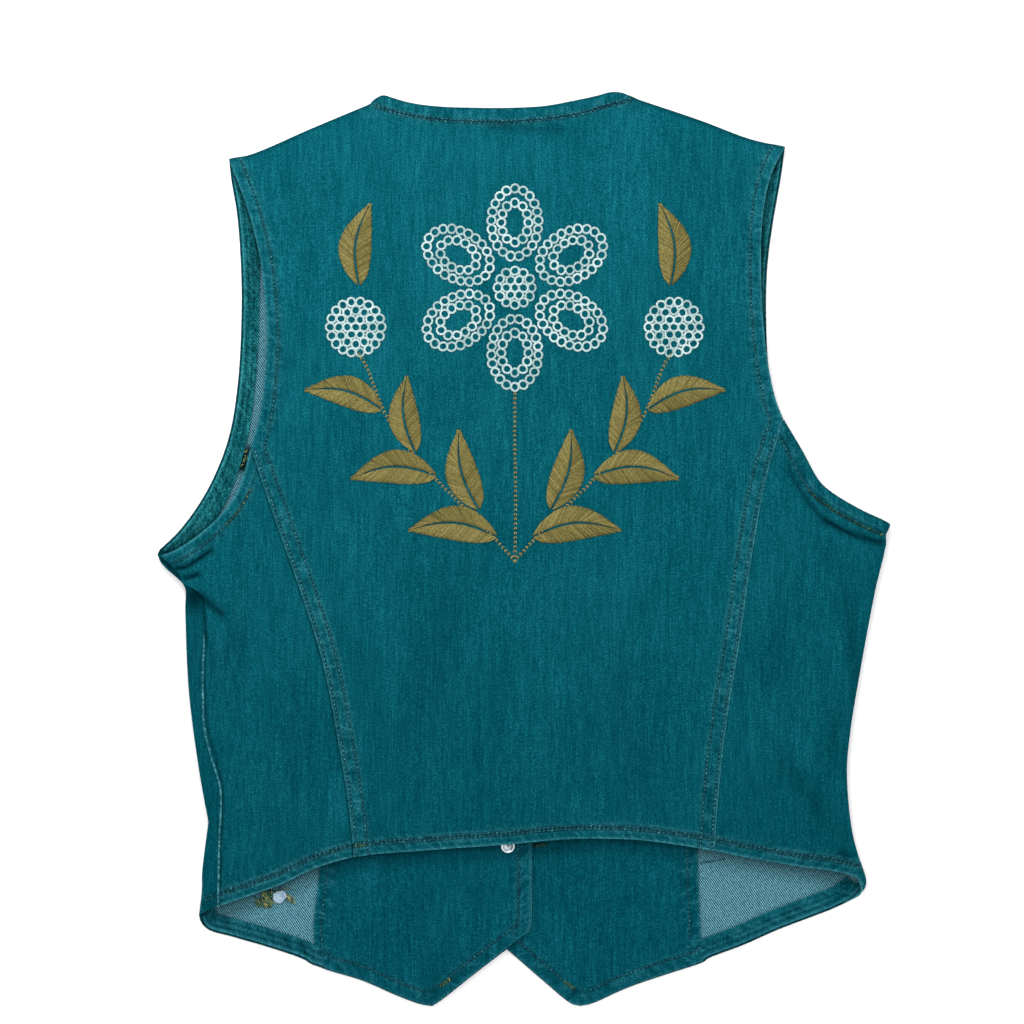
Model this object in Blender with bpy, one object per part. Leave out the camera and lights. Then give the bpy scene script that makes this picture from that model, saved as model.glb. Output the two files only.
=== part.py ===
"""Denim vest laid flat: fronts face down on the ground, back uppermost, neck towards +Y.

Plan sizes and heights below are in millimetres and become metres where each mesh is made.
"""

import math

import bpy
import numpy as np

METRES_PER_MM = 0.001
SHARP_ANGLE = 40.0

# Cloth and seams
DENIM_WALL = 1.2
FACING_WALL = 1.0
SEAM_GAP = 0.3
LAYER_GAP = 0.3
LAP_RAISE = 0.8
HEM_RAISE = 0.9
SIDE_SEAM_ROLL = 11.0

# Heights of the middle of the cloth above the ground
GROUND_LEVEL = DENIM_WALL / 2
BACK_LEVEL = 5.2
SIDE_FOLD_RADIUS = 4.15
SIDE_FOLD_REACH = 28.0
SHOULDER_FOLD_RADIUS = (BACK_LEVEL - GROUND_LEVEL) / 2
SHOULDER_TURN = SHOULDER_FOLD_RADIUS - 0.8 * SEAM_GAP
FACING_OFFSET = DENIM_WALL / 2 + LAYER_GAP + FACING_WALL / 2
OVERLAP_LIFT = FACING_OFFSET + FACING_WALL / 2 + 2 * LAYER_GAP + DENIM_WALL / 2
OVERLAP_RAMP_START = -50.0
OVERLAP_RAMP_END = -8.0

# Snaps on the closing edge and the pocket rivet
SNAP_X = -10.6
SNAP_ROWS_Y = (-196.2, -113.5, -30.8, 52.0)
SNAP_DIAMETER = 9.4
SNAP_HEIGHT = 1.3
CAP_DIAMETER = 10.4
CAP_HEIGHT = 1.4
CAP_LIFT = CAP_HEIGHT + LAYER_GAP
CAP_LIFT_FLAT = 9.0
CAP_LIFT_RAMP = 22.0
CAP_LIFT_ENDS = (12.0, 42.0)
CAP_LIFT_KEPT_X = -20.0
PLACKET_RISE = 4.7
PLACKET_RISE_REACH = 46.0
PLACKET_FADE_START_Y = 115.0
PLACKET_FADE_END_Y = 200.0
RIVET_PLACE = (-161.5, -230.0)
RIVET_DIAMETER = 8.6
RIVET_HEIGHT = 1.3

# Corners where pieces meet in the plan, each an x and a y
SHOULDER_TIP_LEFT = (-194.8, 256.6)
SHOULDER_TIP_RIGHT = (172.4, 264.6)
NECK_POINT_LEFT = (-101.0, 293.2)
NECK_POINT_RIGHT = (73.6, 296.6)
SEAM_TOP_LEFT = (-180.2, 66.3)
SEAM_TOP_RIGHT = (171.2, 85.2)
SEAM_HEM_LEFT = (-112.2, -203.6)
SEAM_HEM_RIGHT = (125.7, -199.4)
SIDE_SEAM_TOP_LEFT = (-239.0, -4.6)
SIDE_SEAM_HEM_LEFT = (-201.3, -235.6)
UNDER_SEAM_LOW_Y = -234.8
UNDER_SEAM_HIGH_Y = 20.0
FRONT_POINT_LEFT = (-60.5, -302.3)
FRONT_POINT_RIGHT = (37.0, -302.3)
CLOSING_FOOT_LEFT = (3.0, -253.6)
CLOSING_FOOT_RIGHT = (-26.0, -252.2)
CLOSING_TOP_LEFT = (5.0, 78.0)
CLOSING_TOP_RIGHT = (-28.0, 78.0)

# Edges of the back, each row an x and a y on the edge's way from corner to corner
SHOULDER_LEFT = (SHOULDER_TIP_LEFT, (-180.0, 259.8), (-140.0, 276.9), NECK_POINT_LEFT)
SHOULDER_RIGHT = (NECK_POINT_RIGHT, (116.0, 282.3), (149.0, 269.9), SHOULDER_TIP_RIGHT)
NECK = (
    NECK_POINT_LEFT, (-96.9, 297.8), (-94.2, 299.0), (-91.0, 298.9), (-87.4, 297.7), (-78.5, 295.0),
    (-66.7, 292.8), (-52.8, 291.5), (-35.6, 290.9), (-10.6, 290.8), (13.9, 292.1), (32.3, 295.4),
    (48.2, 298.8), (57.4, 301.2), (65.3, 300.6), NECK_POINT_RIGHT,
)
BACK_ARMHOLE_LEFT = (
    SEAM_TOP_LEFT, (-175.0, 85.0), (-171.5, 108.0), (-169.6, 144.0), (-172.2, 178.0), (-176.2, 201.0),
    (-181.8, 222.0), (-188.6, 241.0), SHOULDER_TIP_LEFT,
)
BACK_ARMHOLE_RIGHT = (
    SEAM_TOP_RIGHT, (166.2, 98.0), (161.4, 120.0), (157.9, 149.0), (156.4, 186.0), (157.4, 217.0),
    (161.7, 242.0), (167.0, 255.5), SHOULDER_TIP_RIGHT,
)
SIDE_ARMHOLE_LEFT = (
    SIDE_SEAM_TOP_LEFT, (-228.4, -0.2), (-207.5, 15.1), (-192.7, 31.6), (-185.8, 46.0), SEAM_TOP_LEFT,
)
SIDE_ARMHOLE_RIGHT = (
    SEAM_TOP_RIGHT, (183.7, 64.6), (195.2, 44.3), (203.5, 36.9), (223.1, 25.2), (235.0, 19.8),
)
FELLED_SEAM_LEFT = (
    SEAM_HEM_LEFT, (-115.5, -172.6), (-122.8, -126.4), (-133.3, -73.6), (-147.8, -27.4), (-164.3, 18.8),
    SEAM_TOP_LEFT,
)
FELLED_SEAM_RIGHT = (
    SEAM_HEM_RIGHT, (128.7, -159.4), (134.0, -113.2), (142.6, -60.4), (151.1, -1.0), (159.7, 45.2),
    SEAM_TOP_RIGHT,
)
BACK_HEM_LEFT = (
    SIDE_SEAM_HEM_LEFT, (-181.5, -229.1), (-159.7, -221.4), (-138.0, -211.1), (-119.5, -205.3),
    SEAM_HEM_LEFT,
)
BACK_HEM_CENTRE = (
    SEAM_HEM_LEFT, (-100.3, -201.9), (-68.6, -199.4), (-35.6, -196.8), (-10.6, -195.0), (23.8, -191.9),
    (50.2, -191.4), (76.6, -192.4), (109.6, -196.7), SEAM_HEM_RIGHT,
)
BACK_HEM_RIGHT = (
    SEAM_HEM_RIGHT, (136.0, -201.6), (161.0, -206.3), (186.0, -210.4), (203.0, -212.4), (214.0, -214.8),
    (219.5, -216.9),
)
SIDE_SEAM_LEFT = (
    SIDE_SEAM_HEM_LEFT, (-200.0, -192.4), (-199.0, -160.7), (-202.6, -142.9), (-208.6, -119.8),
    (-211.2, -93.4), (-210.5, -60.4), (-210.9, -38.0), (-213.2, -30.8), (-218.2, -26.4), (-223.2, -23.8),
    (-233.0, -13.6), SIDE_SEAM_TOP_LEFT,
)

# Edges of the fronts
FRONT_HEM_LEFT = (
    (-209.5, -251.2), (-192.7, -256.5), (-169.0, -263.4), (-146.0, -271.4), (-130.0, -278.4),
    (-107.0, -285.5), (-83.2, -295.8), (-68.0, -301.2), FRONT_POINT_LEFT,
)
FRONT_HEM_RIGHT = (
    FRONT_POINT_RIGHT, (44.2, -300.9), (68.6, -290.2), (92.4, -281.7), (117.0, -273.4), (120.8, -270.8),
    (143.9, -261.9), (167.6, -252.0), (195.4, -241.4), (205.0, -237.6),
)
FRONT_ARMHOLE_LEFT = (
    (-227.2, 12.4), (-209.2, 38.6), (-195.6, 71.6), (-189.2, 108.0), (-186.6, 157.4), (-187.2, 190.4),
    (-189.7, 222.0), (-193.2, 242.6), SHOULDER_TIP_LEFT,
)
FRONT_ARMHOLE_RIGHT = (
    (222.4, 24.8), (203.0, 36.6), (194.8, 43.8), (183.2, 64.4), (170.2, 86.8), (162.8, 111.2),
    (160.2, 144.2), (160.6, 183.8), (164.7, 216.8), (169.4, 243.2), SHOULDER_TIP_RIGHT,
)
DIAGONAL_LEFT = (FRONT_POINT_LEFT, (-55.0, -298.7), (-34.3, -282.2), (-14.5, -267.0), CLOSING_FOOT_LEFT)
CLOSING_LEFT = (CLOSING_FOOT_LEFT, (4.6, -249.6), (5.0, -195.0), (5.0, -60.0), CLOSING_TOP_LEFT)
V_NECK_LEFT = (CLOSING_TOP_LEFT, (-22.0, 140.0), (-58.0, 214.0), NECK_POINT_LEFT)
DIAGONAL_RIGHT = (FRONT_POINT_RIGHT, (31.4, -300.8), (13.2, -286.1), (-6.6, -268.9), CLOSING_FOOT_RIGHT)
CLOSING_RIGHT = (CLOSING_FOOT_RIGHT, (-28.0, -246.5), (-28.0, -195.0), (-28.0, -60.0), CLOSING_TOP_RIGHT)
V_NECK_RIGHT = (CLOSING_TOP_RIGHT, (0.0, 140.0), (34.0, 214.0), NECK_POINT_RIGHT)
FACING_EDGE_LEFT = ((-138.6, -259.0), (-135.0, -211.0), (-130.0, -100.0), (-122.0, 20.0), (-126.0, 150.0))
FACING_EDGE_RIGHT = ((116.5, -250.0), (114.5, -200.0), (110.0, -100.0), (100.0, 20.0), (101.0, 150.0))

# Where each facing's edge meets the hem and the shoulder, in x
FACING_ENDS_X_LEFT = (-131.0, -140.0)
FACING_ENDS_X_RIGHT = (118.0, 112.0)

# Outer edge of the side folds, from the armhole corner down to the hem
LEFT_FOLD = (
    (-242.0, -3.6), (-239.6, -8.9), (-235.6, -13.4), (-228.5, -19.6), (-223.9, -25.0), (-223.6, -40.6),
    (-221.3, -93.4), (-214.5, -146.2), (-208.3, -180.5), (-212.4, -213.5), (-212.6, -225.4),
    (-214.5, -241.9),
)
RIGHT_FOLD = (
    (242.0, 15.8), (239.5, 2.3), (232.0, -27.4), (222.1, -80.2), (215.6, -119.8), (213.2, -147.5),
    (216.5, -185.8), (221.0, -203.5), (225.7, -218.0), (225.2, -223.4), (222.3, -227.2),
)

# Largest folds of the back: middle x and y, turn from +X in degrees, length, width, depth
BACK_FOLDS = (
    (217.0, -67.0, 97.0, 78.0, 7.0, -1.3),
    (205.0, -120.0, 80.0, 60.0, 8.0, -1.0),
    (-189.0, -66.0, 88.0, 66.0, 8.0, -0.9),
    (-204.0, -38.0, -38.0, 26.0, 5.0, -1.0),
    (-2.0, 276.0, -2.0, 62.0, 6.0, -0.6),
    (-60.0, -80.0, 78.0, 120.0, 22.0, -0.5),
    (70.0, -110.0, 100.0, 110.0, 24.0, -0.5),
)

# Widths of the turned edges as shares of a panel's run
SIDE_BAND_WIDTH = 0.040
HEM_BAND_WIDTH = 0.042
ARM_BAND_WIDTH = 0.050
NECK_BAND_WIDTH = 0.045

# Places of the first lines in from an edge: its rounding, its turned band, the step after it
SIDE_STEPS = (0.006, SIDE_BAND_WIDTH, 0.046)
HEM_STEPS = (0.009, HEM_BAND_WIDTH, 0.048)
ARM_STEPS = (0.006, ARM_BAND_WIDTH, 0.056, 0.100)
NECK_STEPS = (0.0022, 0.006, 0.0115, NECK_BAND_WIDTH, 0.051)
SHOULDER_BAND_STEPS = (0.020, 0.140, 0.160)
SHOULDER_STEPS = (0.0018, 0.0045, 0.0090, 0.0200)
ARMHOLE_STEPS = (0.012, 0.040, 0.090, 0.150)
FOLD_STEPS = (0.015, 0.040, 0.075)
NECK_END_STEPS = (0.03, 0.07)
TURNED_SHARES = (0.0, 0.05, 0.55, 0.68, 0.84)
ON_TOP_SHARE = 0.80
DIAGONAL_STEPS = (0.025, 0.130, 0.150)
CLOSING_STEPS = (0.010, 0.05, 0.10, 0.16, 0.22, 0.28, 0.34, 0.41, 0.49, 0.58)


def smooth_line(points):
    """A dense line that passes smoothly through the given points."""
    knots = np.array(points, dtype=float)
    if len(knots) == 2:
        return knots
    steps = np.sqrt(np.linalg.norm(np.diff(knots, axis=0), axis=1))
    place = np.concatenate([[0.0], np.cumsum(steps)])
    slope = np.gradient(knots, place, axis=0)
    dense = [knots[:1]]
    for k in range(len(knots) - 1):
        t = np.linspace(0.0, 1.0, 13)[1:, None]
        span = steps[k]
        dense.append(
            (2 * t**3 - 3 * t**2 + 1) * knots[k]
            + (t**3 - 2 * t**2 + t) * span * slope[k]
            + (3 * t**2 - 2 * t**3) * knots[k + 1]
            + (t**3 - t**2) * span * slope[k + 1]
        )
    return np.concatenate(dense)


def run_shares(row):
    """Share of a row's length reached at each of its points."""
    run = np.concatenate([[0.0], np.cumsum(np.linalg.norm(np.diff(row, axis=0), axis=1))])
    return run / run[-1]


def points_along(line, shares):
    """Points at the given shares of a line's length."""
    run = run_shares(line)
    return np.stack([np.interp(shares, run, line[:, axis]) for axis in range(line.shape[1])], axis=1)


def levels(count, start=(), end=()):
    """Shares from 0 to 1: the given steps in from each end and even steps between them."""
    first = [0.0, *start]
    last = [1.0 - step for step in reversed((0.0, *end))]
    middle = np.linspace(first[-1], last[0], count + 1)[1:-1]
    return np.concatenate([first, middle, last])


def chain(*parts):
    """One row of points from several smooth lines, each with its own shares, joined at their ends."""
    rows = [points_along(smooth_line(points), shares) for points, shares in parts]
    return np.concatenate([rows[0]] + [row[1:] for row in rows[1:]])


def plan_grid(bottom, top, left, right):
    """A grid filled in between four edge rows; the first index runs from left to right."""
    u = ((run_shares(bottom) + run_shares(top)) / 2)[:, None, None]
    v = ((run_shares(left) + run_shares(right)) / 2)[None, :, None]
    across = (1 - u) * left[None] + u * right[None]
    upward = (1 - v) * bottom[:, None] + v * top[:, None]
    corners = (1 - u) * ((1 - v) * bottom[0] + v * top[0]) + u * ((1 - v) * bottom[-1] + v * top[-1])
    return across + upward - corners


def ease(value, low, high):
    """Smooth step from 0 at low to 1 at high."""
    t = np.clip((value - low) / (high - low), 0.0, 1.0)
    return t * t * (3 - 2 * t)


def x_on_line(line, y):
    """The x of a line at a height in the plan; the line runs one way in y."""
    dense = line[np.argsort(line[:, 1])]
    return np.interp(y, dense[:, 1], dense[:, 0])


# Rows of every panel from the hem up to the armhole, so that neighbours share their seam points
BODY_ROWS = levels(9, HEM_STEPS, ARM_STEPS)
ARMHOLE_ROWS = levels(10, (), SHOULDER_STEPS)
CLOSING_ROWS = (levels(2, DIAGONAL_STEPS), levels(13), levels(8, (), SHOULDER_STEPS))
LEFT_FOLD_LINE = smooth_line(LEFT_FOLD)
RIGHT_FOLD_LINE = smooth_line(RIGHT_FOLD)
RIGHT_FRONT_EDGE = np.concatenate(
    [smooth_line(DIAGONAL_RIGHT), smooth_line(CLOSING_RIGHT)[1:], smooth_line(V_NECK_RIGHT)[1:]]
)
SHOULDER_LINES = (smooth_line(SHOULDER_LEFT), smooth_line(SHOULDER_RIGHT))


def left_fold_centre(y):
    return x_on_line(LEFT_FOLD_LINE, y) + DENIM_WALL / 2 + SIDE_FOLD_RADIUS


def right_fold_centre(y):
    return x_on_line(RIGHT_FOLD_LINE, y) - DENIM_WALL / 2 - SIDE_FOLD_RADIUS


def distance_to(line, x, y):
    """Distance in the plan from points to a line of straight pieces."""
    nearest = np.full(np.shape(x), 1e9)
    for (ax, ay), (bx, by) in zip(line[:-1], line[1:]):
        dx, dy = bx - ax, by - ay
        t = np.clip(((x - ax) * dx + (y - ay) * dy) / (dx * dx + dy * dy), 0.0, 1.0)
        nearest = np.minimum(nearest, np.hypot(x - ax - t * dx, y - ay - t * dy))
    return nearest


def shoulder_turn(x, y):
    """How far the cloth has turned over the shoulder: 0 flat, 1 upright at the shoulder edge."""
    distance = np.minimum(distance_to(SHOULDER_LINES[0], x, y), distance_to(SHOULDER_LINES[1], x, y))
    inward = np.clip(1.0 - distance / SHOULDER_FOLD_RADIUS, 0.0, 1.0)
    return 1.0 - np.sqrt(1.0 - inward**2)


def back_height(x, y):
    """Height of the back's middle surface above the ground."""
    from_left = np.maximum(0.0, x - left_fold_centre(y))
    from_right = np.maximum(0.0, right_fold_centre(y) - x)
    side_rise = GROUND_LEVEL + 2 * SIDE_FOLD_RADIUS - BACK_LEVEL
    height = BACK_LEVEL + side_rise * (
        np.exp(-((from_left / SIDE_FOLD_REACH) ** 2)) + np.exp(-((from_right / SIDE_FOLD_REACH) ** 2))
    )
    placket = PLACKET_RISE * np.exp(-(((x - SNAP_X) / PLACKET_RISE_REACH) ** 2))
    height = height + placket * (1.0 - ease(y, PLACKET_FADE_START_Y, PLACKET_FADE_END_Y))
    for fold_x, fold_y, turn, length, width, depth in BACK_FOLDS:
        c, s = math.cos(math.radians(turn)), math.sin(math.radians(turn))
        run = (x - fold_x) * c + (y - fold_y) * s
        side = (y - fold_y) * c - (x - fold_x) * s
        height = height + depth * np.exp(-((2 * run / length) ** 2) - (2 * side / width) ** 2 / 2)
    return height


def cap_lift(x, y):
    """Lift of the closing edge over the snap caps under it."""
    across = 1.0 - ease(np.abs(x - SNAP_X), CAP_LIFT_FLAT, CAP_LIFT_FLAT + CAP_LIFT_RAMP)
    near, far = CAP_LIFT_ENDS
    low_end = ease(y, SNAP_ROWS_Y[0] - far, SNAP_ROWS_Y[0] - near)
    high_end = 1.0 - ease(y, SNAP_ROWS_Y[-1] + near, SNAP_ROWS_Y[-1] + far)
    return CAP_LIFT * across * low_end * high_end


def front_right_height(x, y):
    return GROUND_LEVEL + cap_lift(x, y)


def front_left_height(x, y):
    """The left front rises over the edge of the right front and its facing."""
    past_edge = x - x_on_line(RIGHT_FRONT_EDGE, np.maximum(y, CLOSING_FOOT_RIGHT[1]))
    over_edge = ease(past_edge, OVERLAP_RAMP_START, OVERLAP_RAMP_END)
    return GROUND_LEVEL + over_edge * (OVERLAP_LIFT + cap_lift(np.maximum(x, CAP_LIFT_KEPT_X), y))


def on_back(grid):
    """Back panel: over the fronts, turned down at its shoulder edges and where it reaches the left fold."""
    x, y = grid[..., 0], grid[..., 1]
    centre = left_fold_centre(y)
    beyond = np.clip((centre - x) / SIDE_FOLD_RADIUS, 0.0, 1.0)
    top = back_height(np.maximum(x, centre), y)
    height = GROUND_LEVEL + (1.0 + np.sqrt(1.0 - beyond**2)) / 2 * (top - GROUND_LEVEL)
    return np.stack([x, y, height - shoulder_turn(x, y) * SHOULDER_TURN], axis=-1)


def on_front(grid, flat_height):
    """Front panel: on the ground, its shoulder edge turned up to meet the back."""
    x, y = grid[..., 0], grid[..., 1]
    turn = shoulder_turn(x, y)
    height = flat_height(x, y) + turn * SHOULDER_TURN
    return np.stack([x, y, height], axis=-1)


def round_left_fold(grid):
    """Left front: along the ground, round the left fold and onto the top as far as the side seam."""
    unrolled, y = grid[..., 0], grid[..., 1]
    centre = left_fold_centre(y)
    angle = np.clip((centre - unrolled) / SIDE_FOLD_RADIUS, 0.0, math.pi)
    past = np.maximum(0.0, centre - math.pi * SIDE_FOLD_RADIUS - unrolled)
    x = np.maximum(unrolled, centre) - SIDE_FOLD_RADIUS * np.sin(angle) + past
    low = on_front(np.stack([x, y], axis=-1), front_left_height)[..., 2]
    top = back_height(np.maximum(x, centre), y)
    height = low + (1.0 - np.cos(angle)) / 2 * (top - low)
    return np.stack([x, y, height], axis=-1)


def round_right_fold(grid):
    """Right side of the back: along the top, round the right fold and under to the side seam."""
    unrolled, y = grid[..., 0], grid[..., 1]
    centre = right_fold_centre(y)
    angle = np.clip((unrolled - centre) / SIDE_FOLD_RADIUS, 0.0, math.pi)
    past = np.maximum(0.0, unrolled - centre - math.pi * SIDE_FOLD_RADIUS)
    x = np.minimum(unrolled, centre) + SIDE_FOLD_RADIUS * np.sin(angle) - past
    top = back_height(np.minimum(x, centre), y)
    height = GROUND_LEVEL + (1.0 + np.cos(angle)) / 2 * (top - GROUND_LEVEL)
    return np.stack([x, y, height], axis=-1)


def unroll_left(x, y):
    """Unrolled place of a point on the upper half of the left fold or past it on top."""
    centre = left_fold_centre(y)
    angle = math.pi - np.arcsin(np.clip((centre - x) / SIDE_FOLD_RADIUS, 0.0, 1.0))
    return centre - SIDE_FOLD_RADIUS * angle - np.maximum(0.0, x - centre)


def unroll_right(x, y):
    """Unrolled place of a point that lies underneath, past the right fold."""
    return 2 * right_fold_centre(y) + math.pi * SIDE_FOLD_RADIUS - x


def cells_of(shape, used=None):
    """Index quads of a grid, leaving out those not used."""
    index = np.arange(shape[0] * shape[1]).reshape(shape)
    quads = np.stack([index[:-1, :-1], index[1:, :-1], index[1:, 1:], index[:-1, 1:]], axis=-1)
    return quads.reshape(-1, 4) if used is None else quads[used]


def vertex_normals(points, quads):
    """Mean direction of the quads round each point."""
    corner = points[quads]
    facing = np.cross(corner[:, 2] - corner[:, 0], corner[:, 3] - corner[:, 1])
    total = np.zeros_like(points)
    for k in range(4):
        np.add.at(total, quads[:, k], facing)
    length = np.linalg.norm(total, axis=1, keepdims=True)
    return total / np.maximum(length, 1e-9)


def cloth(name, middle, wall, material, raised=None, used=None, outer_sign=1.0, floor=None):
    """A closed wall about a middle surface, thicker on its outer side where an edge is turned."""
    quads = cells_of(middle.shape[:2], used)
    points = middle.reshape(-1, 3)
    normals = vertex_normals(points, quads) * outer_sign
    extra = 0.0 if raised is None else raised.reshape(-1) * np.clip(normals[:, 2], 0.0, 1.0)
    outer = points + normals * np.broadcast_to(wall / 2 + extra, len(points))[:, None]
    inner = points - normals * (wall / 2)
    if floor is not None:
        outer[:, 2] = np.maximum(outer[:, 2], floor)
    faces = np.concatenate([quads[:, [0, 1, 2]], quads[:, [0, 2, 3]]])
    if outer_sign < 0:
        faces = faces[:, ::-1]
    sides = np.concatenate([faces[:, [0, 1]], faces[:, [1, 2]], faces[:, [2, 0]]]).tolist()
    seen = {(a, b) for a, b in sides}
    rim = [(a, b) for a, b in sides if (b, a) not in seen]
    count = len(points)
    faces = faces.tolist() + (faces[:, ::-1] + count).tolist()
    faces += [[b, a, a + count] for a, b in rim] + [[b, a + count, b + count] for a, b in rim]
    kept = np.zeros(2 * count, dtype=bool)
    kept[np.concatenate([quads.reshape(-1), quads.reshape(-1) + count])] = True
    number = np.cumsum(kept) - 1
    corners = np.concatenate([outer, inner])[kept]
    return solid(name, corners, [[int(number[k]) for k in face] for face in faces], material)


def solid(name, corners, faces, material):
    """A named object from corners in millimetres."""
    mesh = bpy.data.meshes.new(name)
    mesh.from_pydata((np.asarray(corners) * METRES_PER_MM).tolist(), [], faces)
    mesh.materials.append(material)
    mesh.validate()
    mesh.update()
    mesh.shade_smooth()
    mesh.set_sharp_from_angle(angle=math.radians(SHARP_ANGLE))
    thing = bpy.data.objects.new(name, mesh)
    bpy.context.scene.collection.objects.link(thing)
    return thing


def dome(name, place, low, high, diameter, material, sides=16):
    """A round low dome between two heights, its rim bevelled."""
    profile = ((0.46, 0.0), (0.5, 0.3), (0.47, 0.65), (0.30, 0.95))
    turn = np.arange(sides) * 2 * math.pi / sides
    rings = [
        np.stack(
            [
                place[0] + share * diameter * np.cos(turn),
                place[1] + share * diameter * np.sin(turn),
                np.full(sides, low + rise * (high - low)),
            ],
            axis=1,
        )
        for share, rise in profile
    ]
    corners = np.concatenate(rings + [[[place[0], place[1], low]], [[place[0], place[1], high]]])
    base, tip = len(profile) * sides, len(profile) * sides + 1
    faces = []
    for k in range(sides):
        after = (k + 1) % sides
        faces.append([base, after, k])
        for ring in range(len(profile) - 1):
            low_ring, high_ring = ring * sides, (ring + 1) * sides
            faces.append([low_ring + k, low_ring + after, high_ring + after, high_ring + k])
        last = (len(profile) - 1) * sides
        faces.append([last + k, last + after, tip])
    if high < low:
        faces = [face[::-1] for face in faces]
    return solid(name, corners, faces, material)


def surface(name, colour, roughness, metallic=0.0):
    """A plain material of one colour."""
    material = bpy.data.materials.new(name)
    material.use_nodes = True
    shader = material.node_tree.nodes["Principled BSDF"]
    shader.inputs["Base Color"].default_value = (*colour, 1.0)
    shader.inputs["Roughness"].default_value = roughness
    shader.inputs["Metallic"].default_value = metallic
    return material


def band_raise(shares, start_width, end_width, amount):
    """Extra wall height along the turned edges at the two ends of a run, half of it at the very edge."""
    raised = np.zeros(len(shares))
    if start_width > 0:
        raised[shares <= start_width + 1e-6] = amount
        raised[0] = amount / 2
    if end_width > 0:
        raised[shares >= 1.0 - end_width - 1e-6] = amount
        raised[-1] = amount / 2
    return raised


def moved(points, dx, dy=0.0):
    return tuple((x + dx, y + dy) for x, y in points)


def back_centre(denim):
    arm_rows = levels(9, (), NECK_STEPS)
    shoulder_u = levels(3, SHOULDER_BAND_STEPS)
    neck_u = levels(9, NECK_END_STEPS, NECK_END_STEPS)
    top = chain((SHOULDER_LEFT, shoulder_u), (NECK, neck_u), (SHOULDER_RIGHT, 1.0 - shoulder_u[::-1]))
    u = levels(len(top) - 7, SIDE_STEPS, SIDE_STEPS)
    left = chain((FELLED_SEAM_LEFT, BODY_ROWS), (BACK_ARMHOLE_LEFT, arm_rows))
    right = chain((FELLED_SEAM_RIGHT, BODY_ROWS), (BACK_ARMHOLE_RIGHT, arm_rows))
    grid = plan_grid(chain((BACK_HEM_CENTRE, u)), top, left, right)

    body = len(BODY_ROWS)
    neck = slice(len(shoulder_u) - 1, len(shoulder_u) + len(neck_u) - 1)
    raised = np.zeros(grid.shape[:2])
    raised[neck, body - 1:] = band_raise(arm_rows, 0.0, NECK_BAND_WIDTH, LAP_RAISE)
    raised[:, :body] = band_raise(BODY_ROWS, HEM_BAND_WIDTH, 0.0, HEM_RAISE)
    raised = np.maximum(raised, band_raise(u, SIDE_BAND_WIDTH, SIDE_BAND_WIDTH, LAP_RAISE)[:, None])
    return cloth("back_centre", on_back(grid), DENIM_WALL, denim, raised)


def back_side_left(denim):
    u = levels(7, FOLD_STEPS)
    hem = moved(BACK_HEM_LEFT[:1], SEAM_GAP) + BACK_HEM_LEFT[1:-1] + moved(BACK_HEM_LEFT[-1:], -SEAM_GAP)
    armhole = moved(SIDE_ARMHOLE_LEFT[:1], SEAM_GAP) + SIDE_ARMHOLE_LEFT[1:-1]
    armhole = armhole + moved(SIDE_ARMHOLE_LEFT[-1:], -SEAM_GAP, -SEAM_GAP / 3)
    felled = moved(FELLED_SEAM_LEFT[:-1], -SEAM_GAP) + moved(FELLED_SEAM_LEFT[-1:], -SEAM_GAP, -SEAM_GAP / 3)
    grid = plan_grid(
        chain((hem, u)), chain((armhole, u)), chain((moved(SIDE_SEAM_LEFT, SEAM_GAP), BODY_ROWS)),
        chain((felled, BODY_ROWS)),
    )
    upward = band_raise(BODY_ROWS, HEM_BAND_WIDTH, ARM_BAND_WIDTH, HEM_RAISE)
    raised = np.broadcast_to(upward[None, :], grid.shape[:2])
    return cloth("back_side_left", on_back(grid), DENIM_WALL, denim, raised)


def fold_corner(line, side):
    """Unrolled place of the outermost point at one end of a fold."""
    x, y = line
    centre = left_fold_centre(y) if side < 0 else right_fold_centre(y)
    return (float(centre + side * math.pi / 2 * SIDE_FOLD_RADIUS), y)


def under_seam():
    """The right side seam, which lies on the ground side of the vest."""
    y = UNDER_SEAM_LOW_Y + (UNDER_SEAM_HIGH_Y - UNDER_SEAM_LOW_Y) * BODY_ROWS
    return np.stack([x_on_line(RIGHT_FOLD_LINE, y) - SIDE_SEAM_ROLL, y], axis=1)


def back_side_right(denim):
    u = np.concatenate([levels(8) * ON_TOP_SHARE, ON_TOP_SHARE + (1.0 - ON_TOP_SHARE) * levels(8)[1:]])
    seam = under_seam()
    seam[:, 0] = unroll_right(seam[:, 0], seam[:, 1])
    hem_near = moved(BACK_HEM_RIGHT[:1], SEAM_GAP) + BACK_HEM_RIGHT[1:]
    arm_near = moved(SIDE_ARMHOLE_RIGHT[:1], SEAM_GAP, -SEAM_GAP / 3) + SIDE_ARMHOLE_RIGHT[1:]
    felled = moved(FELLED_SEAM_RIGHT[:-1], SEAM_GAP) + moved(FELLED_SEAM_RIGHT[-1:], SEAM_GAP, -SEAM_GAP / 3)
    grid = plan_grid(
        chain((hem_near + (fold_corner(RIGHT_FOLD[-1], 1), tuple(seam[0])), u)),
        chain((arm_near + (fold_corner(RIGHT_FOLD[0], 1), tuple(seam[-1])), u)),
        chain((felled, BODY_ROWS)),
        seam,
    )
    upward = band_raise(BODY_ROWS, HEM_BAND_WIDTH, ARM_BAND_WIDTH, HEM_RAISE)
    raised = np.broadcast_to(upward[None, :], grid.shape[:2])
    return cloth("back_side_right", round_right_fold(grid), DENIM_WALL, denim, raised, floor=0.0)


def share_at_x(line, x):
    """Share of a line's length at which it reaches an x."""
    order = np.argsort(line[:, 0])
    return float(np.interp(x, line[order, 0], run_shares(line)[order]))


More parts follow.
